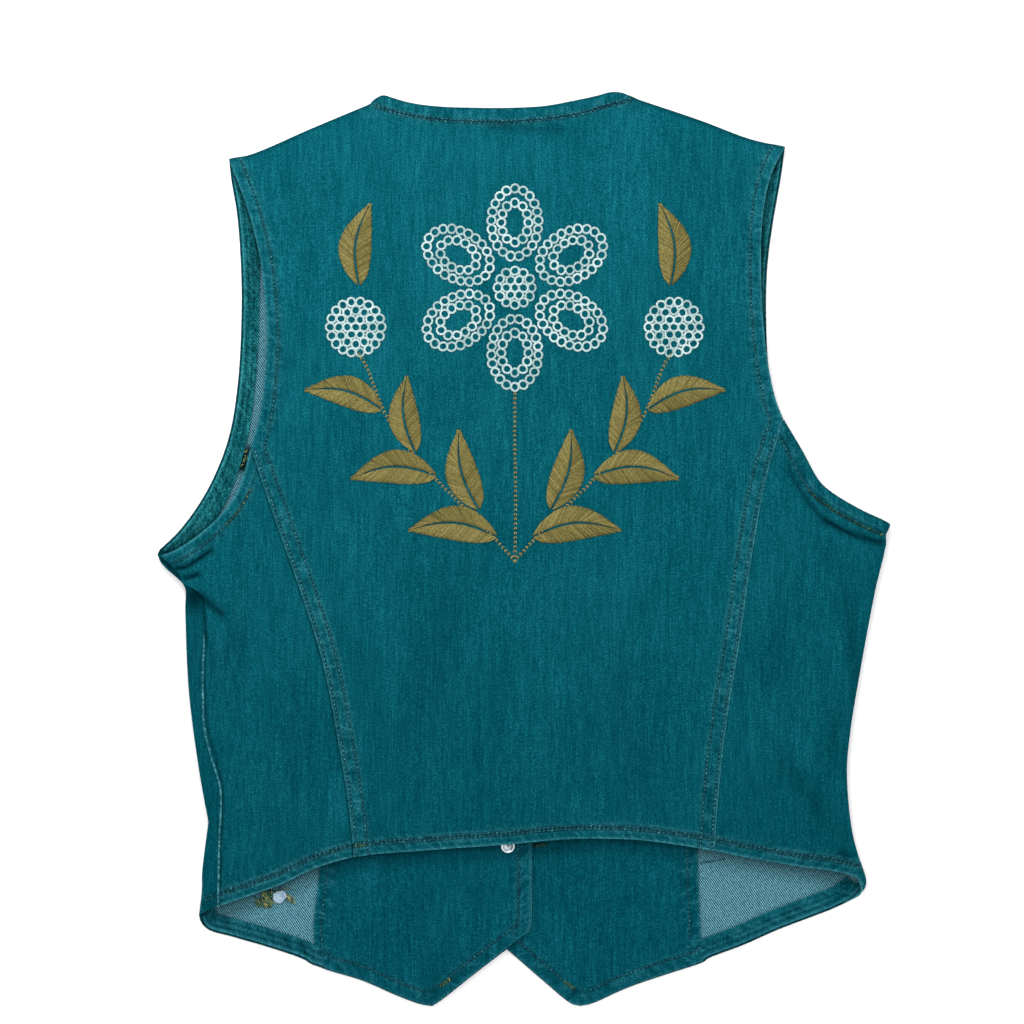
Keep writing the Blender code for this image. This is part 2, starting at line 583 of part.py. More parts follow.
def front_plan(side_rows, hem, shoulder, facing_edge, facing_ends_x, closing, outer_u, facing_u):
    """Plan grid of a front in two parts that share the facing's edge: side part, then facing part."""
    hem_line, shoulder_line = smooth_line(hem), smooth_line(shoulder)
    hem_cut = share_at_x(hem_line, facing_ends_x[0])
    shoulder_cut = share_at_x(shoulder_line, facing_ends_x[1])
    edge_ends = points_along(hem_line, [hem_cut])[0], points_along(shoulder_line, [shoulder_cut])[0]
    edge_line = smooth_line((tuple(edge_ends[0]), *facing_edge, tuple(edge_ends[1])))
    edge = points_along(edge_line, run_shares(side_rows))
    outer = plan_grid(
        points_along(hem_line, hem_cut * outer_u),
        points_along(shoulder_line, shoulder_cut * outer_u),
        side_rows,
        edge,
    )
    facing = plan_grid(
        points_along(hem_line, hem_cut + (1 - hem_cut) * facing_u),
        points_along(shoulder_line, shoulder_cut + (1 - shoulder_cut) * facing_u),
        edge,
        closing,
    )
    return np.concatenate([outer, facing[1:]])


def inner_layer(name, middle, normals, columns, rows, material, shorter=0):
    """A facing or turned edge made from a block of its panel's points, moved to the inner side.

    Where it is shorter at one end, that end column is drawn back from its neighbour's edge.
    """
    block = (slice(*columns), slice(*rows))
    layer = middle[block] + normals[block] * FACING_OFFSET
    if shorter:
        end, before = (-1, -2) if shorter > 0 else (0, 1)
        back = layer[before] - layer[end]
        layer[end] += back / np.linalg.norm(back, axis=1, keepdims=True) * 2 * SEAM_GAP
    return cloth(name, layer, FACING_WALL, material)


def front_left(denim, lining):
    hem_corner, nose = fold_corner(LEFT_FOLD[-1], -1), fold_corner(LEFT_FOLD[0], -1)
    fold_edge = tuple(fold_corner(point, -1) for point in reversed(LEFT_FOLD))
    side = chain((fold_edge, BODY_ROWS), ((nose,) + FRONT_ARMHOLE_LEFT, ARMHOLE_ROWS))
    closing = chain(*zip((DIAGONAL_LEFT, CLOSING_LEFT, V_NECK_LEFT), CLOSING_ROWS))
    outer_u, facing_u = levels(4, ARMHOLE_STEPS), levels(4, (), CLOSING_STEPS)
    plan = front_plan(
        side, (hem_corner,) + FRONT_HEM_LEFT, SHOULDER_LEFT, FACING_EDGE_LEFT, FACING_ENDS_X_LEFT, closing,
        outer_u, facing_u,
    )

    # The part that turns onto the top, from the side seam to the outermost line of the fold
    turned_u = np.array(TURNED_SHARES)
    extra, body = len(turned_u), len(BODY_ROWS)
    seam = points_along(smooth_line(SIDE_SEAM_LEFT), BODY_ROWS)
    seam[:, 0] = unroll_left(seam[:, 0], seam[:, 1])
    turned = (1 - turned_u)[:, None, None] * seam[None] + turned_u[:, None, None] * side[None, :body]
    blank = np.repeat(side[None, body:], extra, axis=0)
    middle = round_left_fold(np.concatenate([np.concatenate([turned, blank], axis=1), plan]))
    used = np.ones((middle.shape[0] - 1, middle.shape[1] - 1), dtype=bool)
    used[:extra, body - 1:] = False
    raised = np.zeros(middle.shape[:2])
    raised[:3] = LAP_RAISE
    cloth("front_left", middle, DENIM_WALL, denim, raised, used, outer_sign=-1.0, floor=0.0)

    normals = vertex_normals(middle.reshape(-1, 3), cells_of(middle.shape[:2], used)).reshape(middle.shape)
    edge = extra + len(outer_u) - 1
    inner_layer("front_facing_left", middle, normals, (edge, -1), (1, -4), lining)
    inner_layer("front_hem_left", middle, normals, (extra + 4, edge + 1), (1, 4), lining, 1)
    inner_layer("armhole_edge_left", middle, normals, (extra + 1, extra + 5), (body + 1, -4), lining)


def front_right(denim, lining):
    seam = under_seam() - (SEAM_GAP, 0.0)
    armhole = (tuple(seam[-1]),) + FRONT_ARMHOLE_RIGHT
    side = np.concatenate([seam, chain((armhole, ARMHOLE_ROWS))[1:]])
    closing = chain(*zip((DIAGONAL_RIGHT, CLOSING_RIGHT, V_NECK_RIGHT), CLOSING_ROWS))
    outer_u, facing_u = levels(4, ARMHOLE_STEPS), levels(4, (), CLOSING_STEPS)
    plan = front_plan(
        side, (FRONT_HEM_RIGHT + (tuple(seam[0]),))[::-1], SHOULDER_RIGHT[::-1], FACING_EDGE_RIGHT,
        FACING_ENDS_X_RIGHT, closing, outer_u, facing_u,
    )
    middle = on_front(plan[::-1], front_right_height)
    cloth("front_right", middle, DENIM_WALL, denim, outer_sign=-1.0, floor=0.0)

    normals = vertex_normals(middle.reshape(-1, 3), cells_of(middle.shape[:2])).reshape(middle.shape)
    edge, body, last = len(facing_u) - 1, len(BODY_ROWS), middle.shape[0]
    inner_layer("front_facing_right", middle, normals, (1, edge + 1), (1, -4), lining)
    inner_layer("front_hem_right", middle, normals, (edge, last - 1), (1, 4), lining, -1)
    inner_layer("armhole_edge_right", middle, normals, (last - 5, last - 1), (body + 1, -4), lining)


def fastenings(metal):
    """Snap stud backs on the left facing, snap caps under the right front, and the pocket rivet."""
    for k, y in enumerate(SNAP_ROWS_Y, start=1):
        base = float(front_left_height(SNAP_X, y)) + FACING_OFFSET + FACING_WALL / 2 + LAYER_GAP
        dome(f"snap_stud_{k}", (SNAP_X, y), base, base + SNAP_HEIGHT, SNAP_DIAMETER, metal)
        dome(f"snap_cap_{k}", (SNAP_X, y), CAP_HEIGHT, 0.0, CAP_DIAMETER, metal)
    base = DENIM_WALL + LAYER_GAP
    dome("pocket_rivet", RIVET_PLACE, base, base + RIVET_HEIGHT, RIVET_DIAMETER, metal)


def main():
    for thing in list(bpy.data.objects):
        bpy.data.objects.remove(thing, do_unlink=True)
    denim = surface("denim", (0.003, 0.130, 0.180), 0.85)
    lining = surface("denim_facing", (0.002, 0.080, 0.105), 0.85)
    metal = surface("snap_metal", (0.62, 0.64, 0.64), 0.30, 1.0)
    back_centre(denim)
    back_side_left(denim)
    back_side_right(denim)
    front_left(denim, lining)
    front_right(denim, lining)
    fastenings(metal)


main()
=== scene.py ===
"""Looks of the denim vest: laid flat on its fronts, back uppermost, neck towards +Y.

Plan sizes and heights below are in millimetres and become metres where each mesh is made.
The plan of every panel follows the same corners and edges as its solid.
"""

import math
from collections import namedtuple

import bpy
import numpy as np
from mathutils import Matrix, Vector
from mathutils.bvhtree import BVHTree


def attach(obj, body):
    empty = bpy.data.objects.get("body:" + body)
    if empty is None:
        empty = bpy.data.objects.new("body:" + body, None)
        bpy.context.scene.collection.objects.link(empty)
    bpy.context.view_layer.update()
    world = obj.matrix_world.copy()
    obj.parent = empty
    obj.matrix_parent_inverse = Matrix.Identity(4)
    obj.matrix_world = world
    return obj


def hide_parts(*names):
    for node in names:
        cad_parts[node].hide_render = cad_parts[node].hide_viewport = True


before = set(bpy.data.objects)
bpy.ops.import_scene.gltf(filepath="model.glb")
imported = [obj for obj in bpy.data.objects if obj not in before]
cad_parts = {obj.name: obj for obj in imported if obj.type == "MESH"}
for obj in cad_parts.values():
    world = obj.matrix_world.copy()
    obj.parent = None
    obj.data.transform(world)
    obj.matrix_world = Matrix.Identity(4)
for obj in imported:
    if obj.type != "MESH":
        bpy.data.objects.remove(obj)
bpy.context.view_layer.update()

METRES_PER_MM = 0.001

# Cloth and seams
DENIM_WALL = 1.2
FACING_WALL = 1.0
SEAM_GAP = 0.3
LAYER_GAP = 0.3
LAP_RAISE = 0.8
HEM_RAISE = 0.9
SIDE_SEAM_ROLL = 11.0

# Heights of the middle of the cloth above the ground
GROUND_LEVEL = DENIM_WALL / 2
BACK_LEVEL = 5.2
SIDE_FOLD_RADIUS = 4.15
SIDE_FOLD_REACH = 28.0
SHOULDER_FOLD_RADIUS = (BACK_LEVEL - GROUND_LEVEL) / 2
SHOULDER_TURN = SHOULDER_FOLD_RADIUS - 0.8 * SEAM_GAP
FACING_OFFSET = DENIM_WALL / 2 + LAYER_GAP + FACING_WALL / 2
OVERLAP_LIFT = FACING_OFFSET + FACING_WALL / 2 + 2 * LAYER_GAP + DENIM_WALL / 2
OVERLAP_RAMP_START = -50.0
OVERLAP_RAMP_END = -8.0

# Snaps on the closing edge and the pocket rivet
SNAP_X = -10.6
SNAP_ROWS_Y = (-196.2, -113.5, -30.8, 52.0)
SNAP_DIAMETER = 9.4
SNAP_HEIGHT = 1.3
CAP_DIAMETER = 10.4
CAP_HEIGHT = 1.4
CAP_LIFT = CAP_HEIGHT + LAYER_GAP
CAP_LIFT_FLAT = 9.0
CAP_LIFT_RAMP = 22.0
CAP_LIFT_ENDS = (12.0, 42.0)
CAP_LIFT_KEPT_X = -20.0
PLACKET_RISE = 4.7
PLACKET_RISE_REACH = 46.0
PLACKET_FADE_START_Y = 115.0
PLACKET_FADE_END_Y = 200.0
RIVET_PLACE = (-161.5, -230.0)
RIVET_DIAMETER = 9.0
RIVET_HEIGHT = 1.3

# Corners where pieces meet in the plan, each an x and a y
SHOULDER_TIP_LEFT = (-194.8, 256.6)
SHOULDER_TIP_RIGHT = (172.4, 264.6)
NECK_POINT_LEFT = (-101.0, 293.2)
NECK_POINT_RIGHT = (73.6, 296.6)
SEAM_TOP_LEFT = (-180.2, 66.3)
SEAM_TOP_RIGHT = (171.2, 85.2)
SEAM_HEM_LEFT = (-112.2, -203.6)
SEAM_HEM_RIGHT = (125.7, -199.4)
SIDE_SEAM_TOP_LEFT = (-239.0, -4.6)
SIDE_SEAM_HEM_LEFT = (-201.3, -235.6)
UNDER_SEAM_LOW_Y = -234.8
UNDER_SEAM_HIGH_Y = 20.0
FRONT_POINT_LEFT = (-60.5, -302.3)
FRONT_POINT_RIGHT = (37.0, -302.3)
CLOSING_FOOT_LEFT = (3.0, -253.6)
CLOSING_FOOT_RIGHT = (-26.0, -252.2)
CLOSING_TOP_LEFT = (5.0, 78.0)
CLOSING_TOP_RIGHT = (-28.0, 78.0)

# Edges of the back, each row an x and a y on the edge's way from corner to corner
SHOULDER_LEFT = (SHOULDER_TIP_LEFT, (-180.0, 259.8), (-140.0, 276.9), NECK_POINT_LEFT)
SHOULDER_RIGHT = (NECK_POINT_RIGHT, (116.0, 282.3), (149.0, 269.9), SHOULDER_TIP_RIGHT)
NECK = (
    NECK_POINT_LEFT, (-96.9, 297.8), (-94.2, 299.0), (-91.0, 298.9), (-87.4, 297.7), (-78.5, 295.0),
    (-66.7, 292.8), (-52.8, 291.5), (-35.6, 290.9), (-10.6, 290.8), (13.9, 292.1), (32.3, 295.4),
    (48.2, 298.8), (57.4, 301.2), (65.3, 300.6), NECK_POINT_RIGHT,
)
NECK_SEAM = (
    (-100.2, 293.0), (-89.8, 289.6), (-69.0, 284.7), (-22.0, 281.5), (14.0, 283.5), (38.3, 287.4),
    (58.0, 293.2), (71.5, 296.4),
)
BACK_ARMHOLE_LEFT = (
    SEAM_TOP_LEFT, (-175.0, 85.0), (-171.5, 108.0), (-169.6, 144.0), (-172.2, 178.0), (-176.2, 201.0),
    (-181.8, 222.0), (-188.6, 241.0), SHOULDER_TIP_LEFT,
)
BACK_ARMHOLE_RIGHT = (
    SEAM_TOP_RIGHT, (166.2, 98.0), (161.4, 120.0), (157.9, 149.0), (156.4, 186.0), (157.4, 217.0),
    (161.7, 242.0), (167.0, 255.5), SHOULDER_TIP_RIGHT,
)
SIDE_ARMHOLE_LEFT = (
    SIDE_SEAM_TOP_LEFT, (-228.4, -0.2), (-207.5, 15.1), (-192.7, 31.6), (-185.8, 46.0), SEAM_TOP_LEFT,
)
SIDE_ARMHOLE_RIGHT = (
    SEAM_TOP_RIGHT, (183.7, 64.6), (195.2, 44.3), (203.5, 36.9), (223.1, 25.2), (235.0, 19.8),
)
FELLED_SEAM_LEFT = (
    SEAM_HEM_LEFT, (-115.5, -172.6), (-122.8, -126.4), (-133.3, -73.6), (-147.8, -27.4), (-164.3, 18.8),
    SEAM_TOP_LEFT,
)
FELLED_SEAM_RIGHT = (
    SEAM_HEM_RIGHT, (128.7, -159.4), (134.0, -113.2), (142.6, -60.4), (151.1, -1.0), (159.7, 45.2),
    SEAM_TOP_RIGHT,
)
BACK_HEM_LEFT = (
    SIDE_SEAM_HEM_LEFT, (-181.5, -229.1), (-159.7, -221.4), (-138.0, -211.1), (-119.5, -205.3),
    SEAM_HEM_LEFT,
)
BACK_HEM_CENTRE = (
    SEAM_HEM_LEFT, (-100.3, -201.9), (-68.6, -199.4), (-35.6, -196.8), (-10.6, -195.0), (23.8, -191.9),
    (50.2, -191.4), (76.6, -192.4), (109.6, -196.7), SEAM_HEM_RIGHT,
)
BACK_HEM_RIGHT = (
    SEAM_HEM_RIGHT, (136.0, -201.6), (161.0, -206.3), (186.0, -210.4), (203.0, -212.4), (214.0, -214.8),
    (219.5, -216.9),
)
SIDE_SEAM_LEFT = (
    SIDE_SEAM_HEM_LEFT, (-200.0, -192.4), (-199.0, -160.7), (-202.6, -142.9), (-208.6, -119.8),
    (-211.2, -93.4), (-210.5, -60.4), (-210.9, -38.0), (-213.2, -30.8), (-218.2, -26.4), (-223.2, -23.8),
    (-233.0, -13.6), SIDE_SEAM_TOP_LEFT,
)

# Edges of the fronts
FRONT_HEM_LEFT = (
    (-209.5, -251.2), (-192.7, -256.5), (-169.0, -263.4), (-145.2, -271.6), (-142.6, -273.4),
    (-139.8, -275.1), (-136.3, -276.1), (-130.0, -278.6), (-107.0, -285.5), (-83.2, -295.8),
    (-68.0, -301.2), FRONT_POINT_LEFT,
)
FRONT_HEM_RIGHT = (
    FRONT_POINT_RIGHT, (44.2, -300.9), (68.6, -290.2), (92.4, -282.0), (117.2, -273.9), (119.4, -272.8),
    (121.6, -270.9), (124.0, -269.8), (143.9, -262.4), (167.6, -252.0), (195.4, -241.4), (205.0, -237.6),
)
FRONT_ARMHOLE_LEFT = (
    (-227.2, 12.4), (-209.2, 38.6), (-195.6, 71.6), (-189.2, 108.0), (-186.6, 157.4), (-187.2, 190.4),
    (-189.7, 222.0), (-193.2, 242.6), SHOULDER_TIP_LEFT,
)
FRONT_ARMHOLE_RIGHT = (
    (222.4, 24.8), (203.0, 36.6), (194.8, 43.8), (183.2, 64.4), (170.2, 86.8), (162.8, 111.2),
    (160.2, 144.2), (160.6, 183.8), (164.7, 216.8), (169.4, 243.2), SHOULDER_TIP_RIGHT,
)
DIAGONAL_LEFT = (FRONT_POINT_LEFT, (-55.0, -298.7), (-34.3, -282.2), (-14.5, -267.0), CLOSING_FOOT_LEFT)
CLOSING_LEFT = (CLOSING_FOOT_LEFT, (4.6, -249.6), (5.0, -195.0), (5.0, -60.0), CLOSING_TOP_LEFT)
V_NECK_LEFT = (CLOSING_TOP_LEFT, (-22.0, 140.0), (-58.0, 214.0), NECK_POINT_LEFT)
DIAGONAL_RIGHT = (FRONT_POINT_RIGHT, (31.4, -300.8), (13.2, -286.1), (-6.6, -268.9), CLOSING_FOOT_RIGHT)
CLOSING_RIGHT = (CLOSING_FOOT_RIGHT, (-28.0, -246.5), (-28.0, -195.0), (-28.0, -60.0), CLOSING_TOP_RIGHT)
V_NECK_RIGHT = (CLOSING_TOP_RIGHT, (0.0, 140.0), (34.0, 214.0), NECK_POINT_RIGHT)
FACING_EDGE_LEFT = ((-138.6, -259.0), (-135.0, -211.0), (-130.0, -100.0), (-122.0, 20.0), (-126.0, 150.0))
FACING_EDGE_RIGHT = ((116.5, -250.0), (114.5, -200.0), (110.0, -100.0), (100.0, 20.0), (101.0, 150.0))

# Where each facing's edge meets the hem and the shoulder, in x
FACING_ENDS_X_LEFT = (-131.0, -140.0)
FACING_ENDS_X_RIGHT = (118.0, 112.0)

# Outer edge of the side folds, from the armhole corner down to the hem
LEFT_FOLD = (
    (-242.0, -3.6), (-239.6, -8.9), (-235.6, -13.4), (-228.5, -19.6), (-223.9, -25.0), (-223.6, -40.6),
    (-221.3, -93.4), (-214.5, -146.2), (-208.3, -180.5), (-212.4, -213.5), (-212.6, -225.4),
    (-214.5, -241.9),
)
LEFT_FOLD_CORNER = 8
RIGHT_FOLD = (
    (242.0, 15.8), (240.4, 12.4), (238.9, 9.2), (239.2, 4.2), (232.0, -27.4), (222.1, -80.2),
    (215.6, -119.8), (213.2, -147.5), (216.5, -185.8), (221.0, -203.5), (225.7, -218.0), (225.2, -223.4),
    (222.3, -227.2),
)

# Folds of the back: middle x and y, turn from +X in degrees, length, width, depth
BACK_FOLDS = (
    (217.0, -67.0, 97.0, 78.0, 7.0, -1.3),
    (205.0, -120.0, 80.0, 60.0, 8.0, -1.0),
    (-189.0, -66.0, 88.0, 66.0, 8.0, -0.9),
    (-204.0, -38.0, -38.0, 26.0, 5.0, -1.0),
    (-2.0, 276.0, -2.0, 62.0, 6.0, -0.6),
    (-60.0, -80.0, 78.0, 120.0, 22.0, -0.5),
    (70.0, -110.0, 100.0, 110.0, 24.0, -0.5),
)
FINE_FOLDS = (
    (71.0, 284.0, -52.0, 13.0, 2.4, 0.5),
    (186.0, -160.0, -54.0, 66.0, 11.0, -1.1),
    (199.0, -4.0, 80.0, 26.0, 9.0, -0.6),
    (-150.0, -120.0, 84.0, 90.0, 14.0, -0.4),
    (168.0, -70.0, 96.0, 90.0, 16.0, -0.4),
    (-140.0, 232.0, 70.0, 50.0, 15.0, -0.35),
    (118.0, 236.0, 112.0, 50.0, 15.0, -0.35),
    (-195.0, -69.0, 70.0, 60.0, 9.0, -0.7),
    (-206.5, -71.0, 90.0, 34.0, 4.0, -0.9),
    (-218.5, -74.0, 80.0, 38.0, 3.4, -0.8),
    (-213.8, -88.0, 84.0, 44.0, 3.0, -0.7),
)
FOLD_SHADE = 0.30
UNEVEN_SIZES_AND_HEIGHTS = ((46.0, 0.35), (15.0, 0.13))

# Sharp drag lines of the back: points of the line, half width, depth
DRAG_LINES = (
    (((172.5, 57.5), (179.0, 45.0), (185.3, 34.0), (191.0, 26.6), (197.0, 19.6), (204.0, 15.4)), 2.0, -0.9),
    (((194.0, 22.6), (197.0, 19.6), (204.0, 15.4), (211.6, 11.6), (222.4, 7.4), (237.0, 3.6)), 2.2, -1.4),
    (((-203.0, 1.0), (-211.1, -4.6), (-217.4, -8.8), (-223.3, -12.2), (-230.4, -13.1)), 1.8, -1.4),
    (((-240.0, -4.0), (-238.4, -6.4), (-234.2, -10.4), (-230.2, -14.8), (-226.0, -19.4)), 1.4, -1.2),
    (((-210.5, -16.6), (-218.0, -18.0), (-225.0, -19.4)), 1.7, -1.6),
    (((-219.0, -27.0), (-211.1, -33.3), (-206.4, -37.5), (-201.4, -41.7), (-197.5, -45.5)), 2.7, -1.2),
    (((-210.8, -28.0), (-211.0, -40.0), (-210.4, -52.0), (-210.0, -64.0)), 1.6, -0.9),
    (((203.3, -199.0), (214.5, -202.6)), 2.8, -0.9),
    (((-30.0, 279.0), (0.0, 277.0), (26.0, 276.3)), 3.0, -0.5),
)
DRAG_SHADE = 0.75

# Tuck beside the left armhole corner, where the front dips under the back: middle, half sizes, depth
TUCK_PLACE = (-217.0, -32.0)
TUCK_SIZE = (9.0, 11.0)
TUCK_DEPTH = 2.4
# Painted shade in the tuck's pocket, and on the part of the left front that turns up round the fold
TUCK_SHADE = 1.0
TURNED_SHADE = 0.05

# Sewn edges: a stitch row is a table of shares of the edge's length and insets from it
SIDE_ROWS = (
    ((0.0, 2.1), (0.585, 2.1)),
    ((0.0, 9.6), (0.50, 9.6), (0.68, 7.3), (1.0, 7.3)),
)
HEM_ROW_INSETS = (6.6, 8.4)
NECK_ROW_INSETS = (-0.8, 0.8)
ARMHOLE_ROW_INSET = 7.3
ARMHOLE_ROW_RIGHT = ((0.0, 8.0), (0.3, 9.2), (1.0, 9.3))
SHOULDER_ROW_INSET = 1.3
FACING_ROW_INSET = 9.0
SIDE_SEAM_ROW = (
    (0.0, 0.4), (0.17, 0.8), (0.30, 0.8), (0.35, 1.2), (0.40, 2.0), (0.46, 1.8), (0.51, 1.4), (0.565, 0.5),
    (0.735, 0.4),
)
SIDE_SEAM_SHADE = ((0.0, 0.9), (0.735, 0.9))
FACING_EDGE_INSETS = (5.0, 7.0)
STRIP_ROW_INSETS = (3.0, 6.8)
HEM_WIDTH = 10.6
STRIP_INSET = 1.6
ARMHOLE_STRIP_LEFT = ((0.0, 13.5), (0.2, 13.0), (0.3, 11.0), (0.45, 10.0), (0.65, 10.2), (0.8, 11.5))
ARMHOLE_STRIP_RIGHT = ((0.0, 10.0),)
HEM_STRIP_LEFT = ((0.0, 10.4),)
HEM_STRIP_RIGHT = ((0.0, 11.9),)
ROW_MARGIN = 1.0
TROUGH_WIDTH = 0.8
TROUGH_SHADE = 0.38
ROW_WEAR = 0.35
RIM_WIDTH = 1.1
RIM_WEAR = 1.0
SHADED_RIM = -0.6
INNER_RIM_WEAR = 0.3
STRIP_RIM_WEAR = 1.2
STRIP_LIFT = 0.25
STRIP_COLUMNS = 12
STITCH_SINK = 0.32

# Painted light and shade: the back is painted palest at its left shoulder, where the light falls; the fronts
# get a painted shadow close under the back's edges
PAINTED_LIGHT_FOOT = -230.0
PAINTED_LIGHT_RISE = 380.0
PAINTED_LIGHT_SLOPE = 4000.0
UNDER_BACK_SHADOW = 0.30
UNDER_BACK_SHADOW_REACH = (6.0, 15.0)
STRIP_SHADOW_REACH = (1.0, 6.0)
COVERED_RIM_SHADE = 0.35
COVERED_RIM_WIDTH = 1.7

# Puckers in the bands along sewn edges: how far the bands reach, pitch along and length across
BAND_REACH = 20.0
BAND_FULL = 9.0
BAND_GONE = 14.5
PUCKER_PITCH = 3.6
PUCKER_LENGTH = 9.0
RUN_APART = 977.0

# Thread: drawn a little thicker than its real 0.5 mm so that single stitches show
STITCH_PITCH = 1.4
STITCH_LENGTH = 1.35
SLANTED_STITCH_LENGTH = 1.9
# Every other stitch of a row takes this tone: a dark stitch that stands for painted shade in the holes
# between stitches
HOLE_SHADE_TONE = 0.08
THREAD_RADIUS = 0.45
ROW_POINTS = 240
STEP_ALONG = 0.002
STITCH_SCATTER = 0.10
STITCH_TURN_SCATTER = 0.09
STITCH_LENGTH_SCATTER = 0.05
STITCH_PROUD = 0.4
TONE_SCATTER = 0.16
RAY_START_HEIGHT = 100.0

# Camera and floor
PHOTO_PIXELS = 1024
MM_PER_PIXEL = 0.66
PHOTO_CENTRE_IN_PLAN = (-7.9, 24.1)
LENS_MM = 180.0
SENSOR_MM = 36.0
FLOOR_HALF_WIDTH = 4000.0
FLOOR_LEVEL = -0.2
CLIP_END = 20.0

# Steps of a smooth line between two of its points, and squares of the lattice behind an uneven surface
LINE_STEPS = 12
LATTICE_SIZE = 64
LATTICE_START = 640.0


def smooth_line(points):
    """A dense line that passes smoothly through the given points."""
    knots = np.array(points, dtype=float)
    if len(knots) == 2:
        return knots
    steps = np.sqrt(np.linalg.norm(np.diff(knots, axis=0), axis=1))
    place = np.concatenate([[0.0], np.cumsum(steps)])
    slope = np.gradient(knots, place, axis=0)
    dense = [knots[:1]]
    for k in range(len(knots) - 1):
        t = np.linspace(0.0, 1.0, LINE_STEPS + 1)[1:, None]
        span = steps[k]
        dense.append(
            (2 * t**3 - 3 * t**2 + 1) * knots[k]
            + (t**3 - 2 * t**2 + t) * span * slope[k]
            + (3 * t**2 - 2 * t**3) * knots[k + 1]
            + (t**3 - t**2) * span * slope[k + 1]
        )
    return np.concatenate(dense)


def run_shares(row):
    """Share of a row's length reached at each of its points."""
    run = np.concatenate([[0.0], np.cumsum(np.linalg.norm(np.diff(row, axis=0), axis=1))])
    return run / run[-1]


def run_length(row):
    """Length of a row of points."""
    return np.linalg.norm(np.diff(row, axis=0), axis=1).sum()


def points_along(line, shares):
    """Points at the given shares of a line's length."""
    run = run_shares(line)
    return np.stack([np.interp(shares, run, line[:, axis]) for axis in range(line.shape[1])], axis=1)


def fine(reach, count):
    """Even small steps from an edge as far as a reach."""
    return tuple(np.linspace(0.0, reach, count + 1)[1:])


def levels(count, start=(), end=()):
    """Shares from 0 to 1: the given steps in from each end and even steps between them."""
    first = [0.0, *start]
    last = [1.0 - step for step in reversed((0.0, *end))]
    middle = np.linspace(first[-1], last[0], count + 1)[1:-1]
    return np.concatenate([first, middle, last])


def chain(*parts):
    """One row of points from several smooth lines, each with its own shares, joined at their ends."""
    rows = [points_along(smooth_line(points), shares) for points, shares in parts]
    return np.concatenate([rows[0]] + [row[1:] for row in rows[1:]])


def joined(*tables):
    """One dense line through several tables that meet end to end."""
    lines = [smooth_line(points) for points in tables]
    return np.concatenate([lines[0]] + [line[1:] for line in lines[1:]])


def plan_grid(bottom, top, left, right):
    """A grid filled in between four edge rows; the first index runs from left to right."""
    u = ((run_shares(bottom) + run_shares(top)) / 2)[:, None, None]
    v = ((run_shares(left) + run_shares(right)) / 2)[None, :, None]
    across = (1 - u) * left[None] + u * right[None]
    upward = (1 - v) * bottom[:, None] + v * top[:, None]
    corners = (1 - u) * ((1 - v) * bottom[0] + v * top[0]) + u * ((1 - v) * bottom[-1] + v * top[-1])
    return across + upward - corners


def ease(value, low, high):
    """Smooth step from 0 at low to 1 at high."""
    t = np.clip((value - low) / (high - low), 0.0, 1.0)
    return t * t * (3 - 2 * t)


def x_on_line(line, y):
    """The x of a line at a height in the plan; the line runs one way in y."""
    dense = line[np.argsort(line[:, 1])]
    return np.interp(y, dense[:, 1], dense[:, 0])


def offset_line(line, inset):
    """A line moved sideways in the plan, to the right of its own direction where inset is positive."""
    direction = np.gradient(line, axis=0)
    direction /= np.linalg.norm(direction, axis=1, keepdims=True)
    aside = np.stack([direction[:, 1], -direction[:, 0]], axis=1)
    return line + np.broadcast_to(inset, len(line))[:, None] * aside


def measure_to(line, x, y):
    """Distance in the plan from points to a line, and the run along it at the nearest place."""
    nearest = np.full(np.shape(x), 1e9)
    run = np.zeros(np.shape(x))
    walked = 0.0
    for (ax, ay), (bx, by) in zip(line[:-1], line[1:]):
        dx, dy = bx - ax, by - ay
        length = math.hypot(dx, dy)
        t = np.clip(((x - ax) * dx + (y - ay) * dy) / length**2, 0.0, 1.0)
        distance = np.hypot(x - ax - t * dx, y - ay - t * dy)
        closer = distance < nearest
        nearest = np.where(closer, distance, nearest)
        run = np.where(closer, walked + t * length, run)
        walked += length
    return nearest, run


def cloud(x, y, size, seed):
    """Smooth unevenness between -1 and 1 with lumps of one size, the same for the same seed."""
    lattice = np.random.default_rng(seed).uniform(-1.0, 1.0, (LATTICE_SIZE, LATTICE_SIZE))
    across, upward = np.asarray(x) / size + LATTICE_START, np.asarray(y) / size + LATTICE_START
    i, j = np.floor(across).astype(int), np.floor(upward).astype(int)
    u, v = ease(across - i, 0.0, 1.0), ease(upward - j, 0.0, 1.0)
    i, j, right, above = i % LATTICE_SIZE, j % LATTICE_SIZE, (i + 1) % LATTICE_SIZE, (j + 1) % LATTICE_SIZE
    low = lattice[i, j] * (1 - u) + lattice[right, j] * u
    high = lattice[i, above] * (1 - u) + lattice[right, above] * u
    return low * (1 - v) + high * v


# Rows and columns of the panels: fine near sewn edges, wider between them
BODY_ROWS = levels(84, fine(0.055, 16), fine(0.055, 14))
NECK_ROWS_UP = levels(
    66, (), (0.0022, 0.0045, 0.0075, 0.0115, 0.017, 0.023, 0.029, 0.035, 0.041, 0.047, 0.053, 0.060, 0.070)
)
ARMHOLE_ROWS = levels(60, (), (0.0018, 0.0045, 0.0090, 0.0140, 0.0200))
DIAGONAL_ROWS = levels(22, fine(0.17, 14))
CLOSING_SHOWN = 0.22
CLOSING_SHOWN_ROWS = 32
CLOSING_HIDDEN_ROWS = len(BODY_ROWS) - len(DIAGONAL_ROWS) - CLOSING_SHOWN_ROWS
CLOSING_ROWS = np.concatenate(
    [
        np.linspace(0.0, CLOSING_SHOWN, CLOSING_SHOWN_ROWS + 1),
        np.linspace(CLOSING_SHOWN, 1.0, CLOSING_HIDDEN_ROWS + 1)[1:],
    ]
)
FRONT_OUTER_COLUMNS = levels(30, fine(0.14, 14), (0.012,))
FRONT_FACING_COLUMNS = levels(46, fine(0.08, 8), fine(0.10, 12))

